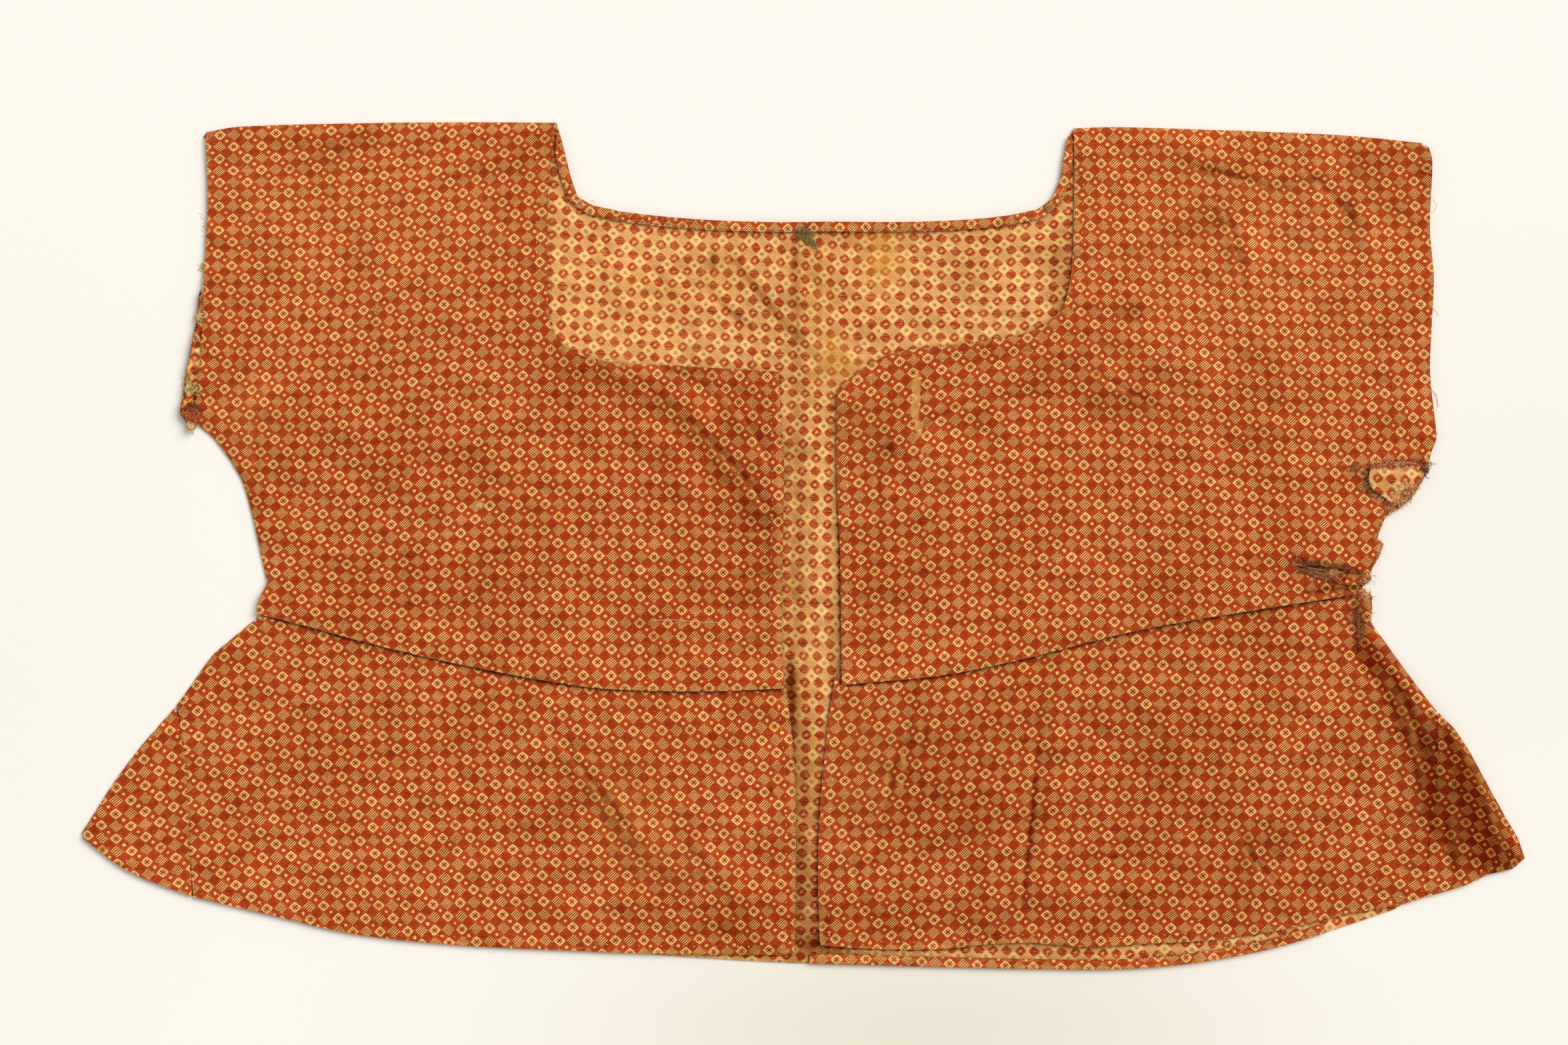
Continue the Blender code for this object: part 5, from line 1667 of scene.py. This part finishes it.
    def dress(self, turnings: Sequence[Piece] = ()) -> None:
        """Ties the piece to the frame and hides its solid.

        Args:
            turnings: pieces of the same cut.
        """
        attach(self.piece, BODY)
        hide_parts(self.node)
        if self.flat:
            rests = list(self.rests_on)
            list(turnings)


@dataclass
class Scrap:
    """A small torn end of cloth that lies on another piece.

    Args:
        name: of the piece.
        side: the face that shows.
        outline: in pixels, counter-clockwise as seen.
        crumple: how far it stands up, in mm.
        pins: where its print lies.
        soil_and_shade: its stains, and some painted shade.
    """

    name: str
    side: Side
    outline: Sequence[tuple[float, float]]
    crumple: float
    pins: Sequence[Pin]
    soil_and_shade: Sequence[Stain] = ()
    piece: Piece | None = field(default=None, repr=False)

    def build(self, material: Material, relief: Relief) -> None:
        """Makes the scrap on whatever is under it.

        Args:
            material: of the face that shows.
            relief: height of the cloth below.
        """
        corners = np.array([at(*spot) for spot in self.outline])
        loop = refined(spline(np.vstack([corners, corners[:1]]), SCRAP_GRID)[:-1], SCRAP_GRID)
        xy, faces, _ = triangles([list(range(len(loop)))], np.vstack([loop, lattice([loop], SCRAP_GRID)]))
        waves = np.array([noise.noise(Vector((x * 420, y * 420, self.crumple))) for x, y in xy])
        z = relief.over(xy, 0.0)[:, 2].max() + (0.55 + self.crumple * (0.5 + waves)) * MM
        # Painted shade in the dips of the crumple, a darkened rim, and painted highlights on the rises
        marks = {
            "crease": np.clip(-waves * 1.6, 0, 1),
            "soil_and_shade": patches(self.soil_and_shade, xy),
            "edge": 0.6 * bell(distance([loop], xy), 0.8 * MM),
            "painted_highlight": np.clip(waves * 1.2, 0, 1),
        }
        points = np.column_stack([xy, z])
        self.piece = shell(self.name, points, faces, 0.7 * SHELL, material, self.pins, marks)

    def dress(self) -> None:
        """Ties the scrap to the frame."""
        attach(self.piece, BODY)


class ThreadTree(Tree):
    """A geometry tree that makes threads along lines, with named inputs."""

    KINDS = {"Seed": "Int", "Yarn": "Material"}

    def __init__(self, name: str, *labels: str) -> None:
        """Makes the inputs.

        Args:
            name: of the tree.
            labels: of its inputs beside the geometry.
        """
        self.group = bpy.data.node_groups.new(name, "GeometryNodeTree")
        super().__init__(self.group)
        face = self.group.interface
        for way in ("OUTPUT", "INPUT"):
            face.new_socket("Geometry", in_out=way, socket_type="NodeSocketGeometry")
        self.ids = {}
        for label in labels:
            kind = f"NodeSocket{self.KINDS.get(label, 'Float')}"
            self.ids[label] = face.new_socket(label, in_out="INPUT", socket_type=kind).identifier
        self.out = self.node("NodeGroupInput").outputs
        self.lines = self.node("GeometryNodeMeshToCurve", {0: self.out["Geometry"]}).outputs[0]

    def tube(self, curve: Socket, radius: Value) -> Socket:
        """A round thread along a curve.

        Args:
            curve: its middle line.
            radius: of the thread.

        Returns:
            Its surface.
        """
        profile = self.node("GeometryNodeCurvePrimitiveCircle", {"Resolution": 5, "Radius": radius}).outputs[0]
        inputs = {"Curve": curve, "Profile Curve": profile, "Fill Caps": True}
        return self.node("GeometryNodeCurveToMesh", inputs).outputs[0]

    def ways(self) -> tuple[Socket, Socket]:
        """The directions along the lines and to their right."""
        tangent = self.node("GeometryNodeInputTangent").outputs[0]
        return tangent, self.vector_math("CROSS_PRODUCT", tangent, (0.0, 0.0, 1.0))

    def random(self, low: object, high: object) -> Socket:
        """A random number for each point, or a vector between two tuples.

        Args:
            low, high: its limits.

        Returns:
            The number or vector.
        """
        kind, first, output = ("FLOAT_VECTOR", 0, 0) if isinstance(low, tuple) else ("FLOAT", 2, 1)
        inputs = {first: low, first + 1: high, "Seed": self.out["Seed"]}
        return self.node("FunctionNodeRandomValue", inputs, data_type=kind).outputs[output]

    def place(self, thing: Socket, aim: Socket, stray: Socket, share: object, scale: object) -> None:
        """Puts one thing at each pitch of the lines.

        Args:
            thing: what is placed.
            aim: where its length points.
            stray: what is added to that direction.
            share: how much of it.
            scale: its size.
        """
        way = self.vector_math("ADD", aim, self.vector_math("SCALE", stray, share))
        inputs = {"Curve": self.lines, "Length": self.out["Pitch"]}
        spaced = self.node("GeometryNodeResampleCurve", inputs, mode="LENGTH").outputs[0]
        turned = self.node("FunctionNodeAlignRotationToVector", {"Vector": way}, axis="X").outputs[0]
        inputs = {"Points": spaced, "Instance": thing, "Rotation": turned, "Scale": scale}
        self.finish(self.node("GeometryNodeInstanceOnPoints", inputs).outputs[0])

    def finish(self, geometry: Socket) -> None:
        """Ends the tree with Realize Instances and Set Material.

        Args:
            geometry: what it has made.
        """
        real = self.node("GeometryNodeRealizeInstances", {0: geometry})
        painted = self.node("GeometryNodeSetMaterial", {"Geometry": real.outputs[0], "Material": self.out["Yarn"]})
        self.node("NodeGroupOutput", {0: painted.outputs[0]})


def stitch_tree() -> ThreadTree:
    """Running stitches along a line.

    Returns:
        The tree.
    """
    tree = ThreadTree("stitches", "Pitch", "Length", "Thickness", "Slant", "Seed", "Yarn")
    out = tree.out
    ball = tree.node("GeometryNodeMeshIcoSphere", {"Radius": 0.5, "Subdivisions": 2}).outputs[0]
    size = tree.node("ShaderNodeCombineXYZ", {0: out["Length"], 1: out["Thickness"], 2: out["Thickness"]})
    stitch = tree.node("GeometryNodeTransform", {"Geometry": ball, "Scale": size.outputs[0]}).outputs[0]
    lean = Value(tree, out["Slant"]) + tree.random(-0.18, 0.18)
    tree.place(stitch, *tree.ways(), lean, tree.random((0.6, 0.7, 0.7), (1.15, 1.2, 1.0)))
    return tree


def fray_tree() -> ThreadTree:
    """Short loose threads that stand off a line to its right.

    Returns:
        The tree.
    """
    tree = ThreadTree("fray", "Pitch", "Length", "Thickness", "Spread", "Seed", "Yarn")
    out = tree.out
    bend = {
        "Resolution": 6, "Start": (0, 0, 0), "Start Handle": (0.35, 0.12, 0.10),
        "End Handle": (0.62, -0.25, 0.12), "End": (1.0, 0.05, 0.0),
    }
    bent = tree.node("GeometryNodeCurvePrimitiveBezierSegment", bend).outputs[0]
    thread = tree.tube(bent, Value(tree, out["Thickness"]) / out["Length"] * 0.5)
    reach = Value(tree, tree.random(0.35, 1.3)) * out["Length"]
    tree.place(thread, tree.ways()[1], tree.random((-1, -1, 0.0), (1, 1, 0.25)), out["Spread"], reach)
    return tree


def strand_tree() -> ThreadTree:
    """Long threads that follow their own lines.

    Returns:
        The tree.
    """
    tree = ThreadTree("strands", "Thickness", "Yarn")
    tree.finish(tree.tube(tree.lines, Value(tree, tree.out["Thickness"]) * 0.5))
    return tree


class ThreadWork:
    """Pieces of sewing and loose threads."""

    FINISHES = {
        Yarn.CREAM: Finish(244, 214, 152),
        Yarn.BROWN: Finish(112, 54, 24),
        Yarn.OLIVE: Finish(154, 130, 70),
        Yarn.RED: Finish(196, 96, 44),
    }
    LENGTHS = ("pitch", "length", "thickness")

    def __init__(self, relief: Relief) -> None:
        """Makes the trees and the yarns.

        Args:
            relief: the height of the cloth.
        """
        self.relief = relief
        self.yarns = {yarn: yarn_material(yarn, finish) for yarn, finish in self.FINISHES.items()}
        self.trees = {"stitches": stitch_tree(), "fray": fray_tree(), "strands": strand_tree()}

    def made(self, kind: str, name: str, lines: Sequence[Array], yarn: Yarn, **sizes: float) -> None:
        """Runs a tree along lines, and keeps the result as a plain piece tied to the frame.

        Args:
            kind: of tree.
            name: of the piece.
            lines: rows of three coordinates each.
            yarn: what it is made of.
            sizes: the tree's other inputs; lengths in mm.
        """
        starts = np.cumsum([0] + [len(line) for line in lines])
        edges = [(n, n + 1) for a, b in zip(starts, starts[1:]) for n in range(a, b - 1)]
        mesh = bpy.data.meshes.new(f"{name}_path")
        mesh.from_pydata(np.vstack(lines).tolist(), edges, [])
        source = bpy.data.objects.new(f"{name}_path", mesh)
        bpy.context.scene.collection.objects.link(source)
        tree = self.trees[kind]
        modifier = source.modifiers.new("work", "NODES")
        modifier.node_group = tree.group
        modifier[tree.ids["Yarn"]] = self.yarns[yarn]
        for label, size in sizes.items():
            modifier[tree.ids[label.capitalize()]] = size * MM if label in self.LENGTHS else size
        piece = plain(source, name)
        piece.data.shade_smooth()
        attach(piece, BODY)

    def stitches(self, seam: Seam, seed: int) -> None:
        """A row of hand stitches.

        Args:
            seam: the table's row.
            seed: of its random draws.
        """
        line = self.relief.over(px_line(*seam.spots), STITCH_LIFT)
        sizes = {"pitch": seam.pitch, "length": seam.length, "thickness": seam.thick, "slant": seam.slant}
        self.made("stitches", f"{seam.name}_stitches", [line], seam.yarn, seed=seed, **sizes)

    def fray(self, edge: Fray, seed: int) -> None:
        """The frayed ends of an edge.

        Args:
            edge: the table's row.
            seed: of its random draws.
        """
        line = self.relief.over(px_line(*edge.spots, step=FRAY_STEP), FRAY_LIFT)
        sizes = {"pitch": edge.pitch, "length": edge.length, "thickness": edge.thick, "spread": edge.spread}
        self.made("fray", f"fray_{edge.name}", [line], edge.yarn, seed=seed, **sizes)

    def lying(self, *spots: tuple[float, float], lift: float, arch: float) -> Array:
        """A thread through pixels, lying on whatever is under it.

        Args:
            spots: pixels that it passes.
            lift: of its middle line, in mm.
            arch: how far its middle stands up, in mm.

        Returns:
            Its points.
        """
        line = self.relief.over(px_line(*spots, step=0.5 * MM), lift * MM)
        for _ in range(3):
            line[1:-1, 2] = np.maximum(line[1:-1, 2], (line[:-2, 2] + line[2:, 2]) / 2)
        line[:, 2] += arch * MM * np.sin(np.linspace(0, math.pi, len(line)))
        return line

    def tangle(self, heap: Tangle) -> None:
        """A heap of loose threads.

        Args:
            heap: the table's row.
        """
        chance = random.Random(heap.seed)
        turn = math.radians(heap.turn)
        lines = []
        for _ in range(heap.count):
            u, v = chance.gauss(0, 0.5), chance.gauss(0, 0.5)
            x = heap.px + u * heap.wide * math.cos(turn) + v * heap.high * math.sin(turn)
            y = heap.py - u * heap.wide * math.sin(turn) + v * heap.high * math.cos(turn)
            way = turn + math.radians(chance.gauss(0, heap.stray))
            reach = heap.length / PIXEL * MM * chance.uniform(0.35, 0.7)
            dx, dy = reach * math.cos(way), -reach * math.sin(way)
            bow = chance.gauss(0, 0.35)
            spots = ((x - dx, y - dy), (x - dy * bow, y + dx * bow), (x + dx, y + dy))
            lift = 0.12 + chance.random() * 0.25
            lines.append(self.lying(*spots, lift=lift, arch=heap.pile * chance.random()))
        self.made("strands", heap.name, lines, heap.yarn, thickness=heap.thick)


class Gown:
    """The whole garment."""

    def __init__(self) -> None:
        """Lists the cloth pieces and the scraps."""
        front = {
            "slot": "printed_cotton", "side": Side.RIGHT, "rests_on": ["back"], "creases": FRONT_CREASES,
            "soil_and_shade": SOIL, "bleach": BLEACH, "painted_shade": FRONT_PAINTED_SHADE, "light": FRONT_PAINTED_LIGHT,
        }
        hem = {
            "slot": "cotton_hem", "side": Side.RIGHT, "rests_on": ["back"], "ripple": 0.1, "grid": HEM_GRID,
            "flat": (), "area": 0,
        }
        covers = ["bodice_left", "bodice_right", "peplum_left", "peplum_right", "gore_right", "neck_hem", "back_hem"]
        self.cloths = [
            Cloth("back", "cotton_wrong_side", Side.WRONG, BACK_PINS, (0.662, 0.389), 0.2057, ["floor"],
                  creases=BACK_CREASES, soil_and_shade=BACK_SOIL_AND_SHADE, painted_shade=BACK_PAINTED_SHADE, light=BACK_PAINTED_LIGHT, yellow=YELLOW,
                  ripple=0.2, seen=BACK_SEEN, under=covers),
            Cloth("bodice_left", pins=BODICE_LEFT_PINS, flat=(0.277, 0.262), area=0.0517, **front),
            Cloth("bodice_right", pins=BODICE_RIGHT_PINS, flat=(0.276, 0.257), area=0.0506,
                  under=["torn_flap"], under_edge_shadow=0.8, **front),
            Cloth("peplum_left", pins=PEPLUM_LEFT_PINS, flat=(0.285, 0.160), area=0.0362,
                  under=["bodice_left"], under_edge_shadow=0.95, **front),
            Cloth("peplum_right", pins=PEPLUM_RIGHT_PINS, flat=(0.284, 0.167), area=0.0388,
                  under=["bodice_right"], under_edge_shadow=0.95, **front),
            Cloth("gore_left", pins=GORE_LEFT_PINS, flat=(0.051, 0.087), area=0.0026, **front),
            Cloth("gore_right", pins=GORE_RIGHT_PINS, flat=(0.046, 0.085), area=0.0022, **front),
            Cloth("neck_hem", pins=NECK_HEM_PINS, **hem),
            Cloth("back_hem", pins=BACK_HEM_PINS, **hem),
            Cloth("torn_flap", "cotton_wrong_side", Side.WRONG, FLAP_PINS, (0.028, 0.021), 0.00037,
                  ["bodice_right"], grid=FLAP_GRID, ripple=0.6, soil_and_shade=[Stain(2100, 730, 60, 30, 0, 0.15)]),
        ]
        self.scraps = [Scrap(*row) for row in SCRAPS]
        self.turnings: list[Piece] = []

    def build(self) -> None:
        """Makes every piece."""
        faces = {side: Painter(side).paint() for side in Side}
        surfaces = {cloth.node: TopSurface(frame["nodes"][cloth.node]) for cloth in self.cloths}
        joins = {
            f"peplum_{side}": joined_line(surfaces[f"gore_{side}"].loops[0], surfaces[f"peplum_{side}"].loops[0])
            for side in ("left", "right")
        }
        for cloth in self.cloths:
            cloth.joins = list(joins.values())
            cloth.build(faces[cloth.side], surfaces)
        relief = Relief(cloth.piece for cloth in self.cloths)
        for scrap in self.scraps:
            scrap.build(faces[scrap.side], relief)
        for cloth in self.cloths:
            if cloth.node in joins:
                self.turnings.append(cloth.turning(joins[cloth.node], relief, faces[cloth.side]))
        self.sew(ThreadWork(Relief(part.piece for part in self.cloths + self.scraps)))

    def sew(self, work: ThreadWork) -> None:
        """Hand sewing, frayed edges, waste threads and the knot at the neck.

        Args:
            work: what makes them.
        """
        for seed, seam in enumerate(SEAMS, FIRST_SEAM_SEED):
            work.stitches(seam, seed)
        for heap in TANGLES:
            work.tangle(heap)
        for number, (yarn, thick, lines) in enumerate(THREADS):
            lying = [work.lying(*spots, lift=0.25, arch=0.2) for spots in lines]
            work.made("strands", f"threads_{number}_{yarn.value}", lying, yarn, thickness=thick)
        for seed, edge in enumerate(FRAYS, FIRST_FRAY_SEED):
            work.fray(edge, seed)

    def dress(self) -> None:
        """Ties every piece to the frame and hides the solids; the turned hems belong to the back's cut."""
        hems = [cloth for cloth in self.cloths if not cloth.flat]
        for part in hems + self.scraps:
            part.dress()
        for piece in self.turnings:
            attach(piece, BODY)
        cuff = [scrap.piece for scrap in self.scraps[:3]]
        parts = {"back": [hem.piece for hem in hems], "bodice_left": cuff}
        for cloth in self.cloths:
            if cloth.flat:
                cloth.dress(parts.get(cloth.node, []))


class Studio:
    """Floor, light and camera, as in the photograph."""

    PALE = Finish(254, 249, 239, 0.85)
    # Colour of the painted shade on the floor
    SHADED_FLOOR = Finish(236, 229, 210)
    LENS, SENSOR = 85, 36
    CLOTH_TOP = 2.3 * MM

    def build(self) -> None:
        """Makes them; only the floor is seen."""
        bpy.ops.mesh.primitive_plane_add(size=16)
        floor = bpy.context.object
        floor.name = "floor"
        floor.data.materials.append(self.paper())
        self.sun()
        world = bpy.data.worlds.new("studio")
        bpy.context.scene.world = world
        world.use_nodes = True
        sky = world.node_tree.nodes["Background"].inputs
        sky[0].default_value = (1.0, 1.0, 1.0, 1.0)
        sky[1].default_value = SKY_SHARE
        self.camera()

    def paper(self) -> Material:
        """The floor's pale finish, with painted shade that makes it darker in places.

        Returns:
            The material.
        """
        material, tree = new_material("floor")
        place = tree.node("ShaderNodeTexCoord").outputs["Object"]
        parts = tree.node("ShaderNodeSeparateXYZ", {0: place}).outputs
        x, y = Value(tree, parts[0]), Value(tree, parts[1])
        # Painted shade on the floor, over the given patches
        floor_shade = 0.0
        for tone in FLOOR_PAINTED_SHADE:
            left, low = at(tone.px, tone.py).tolist()
            across, along = (x - left) / (tone.wide * PIXEL), (y - low) / (tone.high * PIXEL)
            floor_shade = floor_shade + (0.0 - across * across - along * along).math("EXPONENT") * tone.strength
        tree.surface({"Base Color": tree.mix(floor_shade, self.PALE, self.SHADED_FLOOR), "Roughness": self.PALE.roughness})
        return material

    def sun(self) -> None:
        """One broad light from the right and above, as strong as the floor's white needs."""
        high, turn = math.radians(LIGHT_HEIGHT), math.radians(LIGHT_TURN)
        data = bpy.data.lights.new("key", "SUN")
        data.energy = (1.0 - SKY_SHARE) * math.pi / math.sin(high)
        data.angle = math.radians(LIGHT_BREADTH)
        light = bpy.data.objects.new("key", data)
        towards = Vector((math.cos(turn) * math.cos(high), math.sin(turn) * math.cos(high), math.sin(high)))
        light.rotation_euler = towards.to_track_quat("Z", "Y").to_euler()
        light.location = towards * 3
        bpy.context.scene.collection.objects.link(light)

    def camera(self) -> None:
        """Straight above, with the photograph's field of view."""
        data = bpy.data.cameras.new("camera")
        data.lens, data.sensor_width = self.LENS, self.SENSOR
        data.clip_start, data.clip_end = 0.05, 20
        camera = bpy.data.objects.new("camera", data)
        away = PICTURE_PX[0] * PIXEL * data.lens / data.sensor_width
        camera.location = (*at(PICTURE_PX[0] / 2, PICTURE_PX[1] / 2), away + self.CLOTH_TOP)
        bpy.context.scene.collection.objects.link(camera)
        bpy.context.scene.camera = camera
        bpy.context.scene.view_settings.view_transform = "Standard"


def main() -> None:
    """Builds the scene."""
    logging.basicConfig(level=logging.INFO, format="%(name)s: %(message)s")
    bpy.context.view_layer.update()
    gown = Gown()
    gown.build()
    Studio().build()
    gown.dress()


if __name__ == "__main__":
    main()
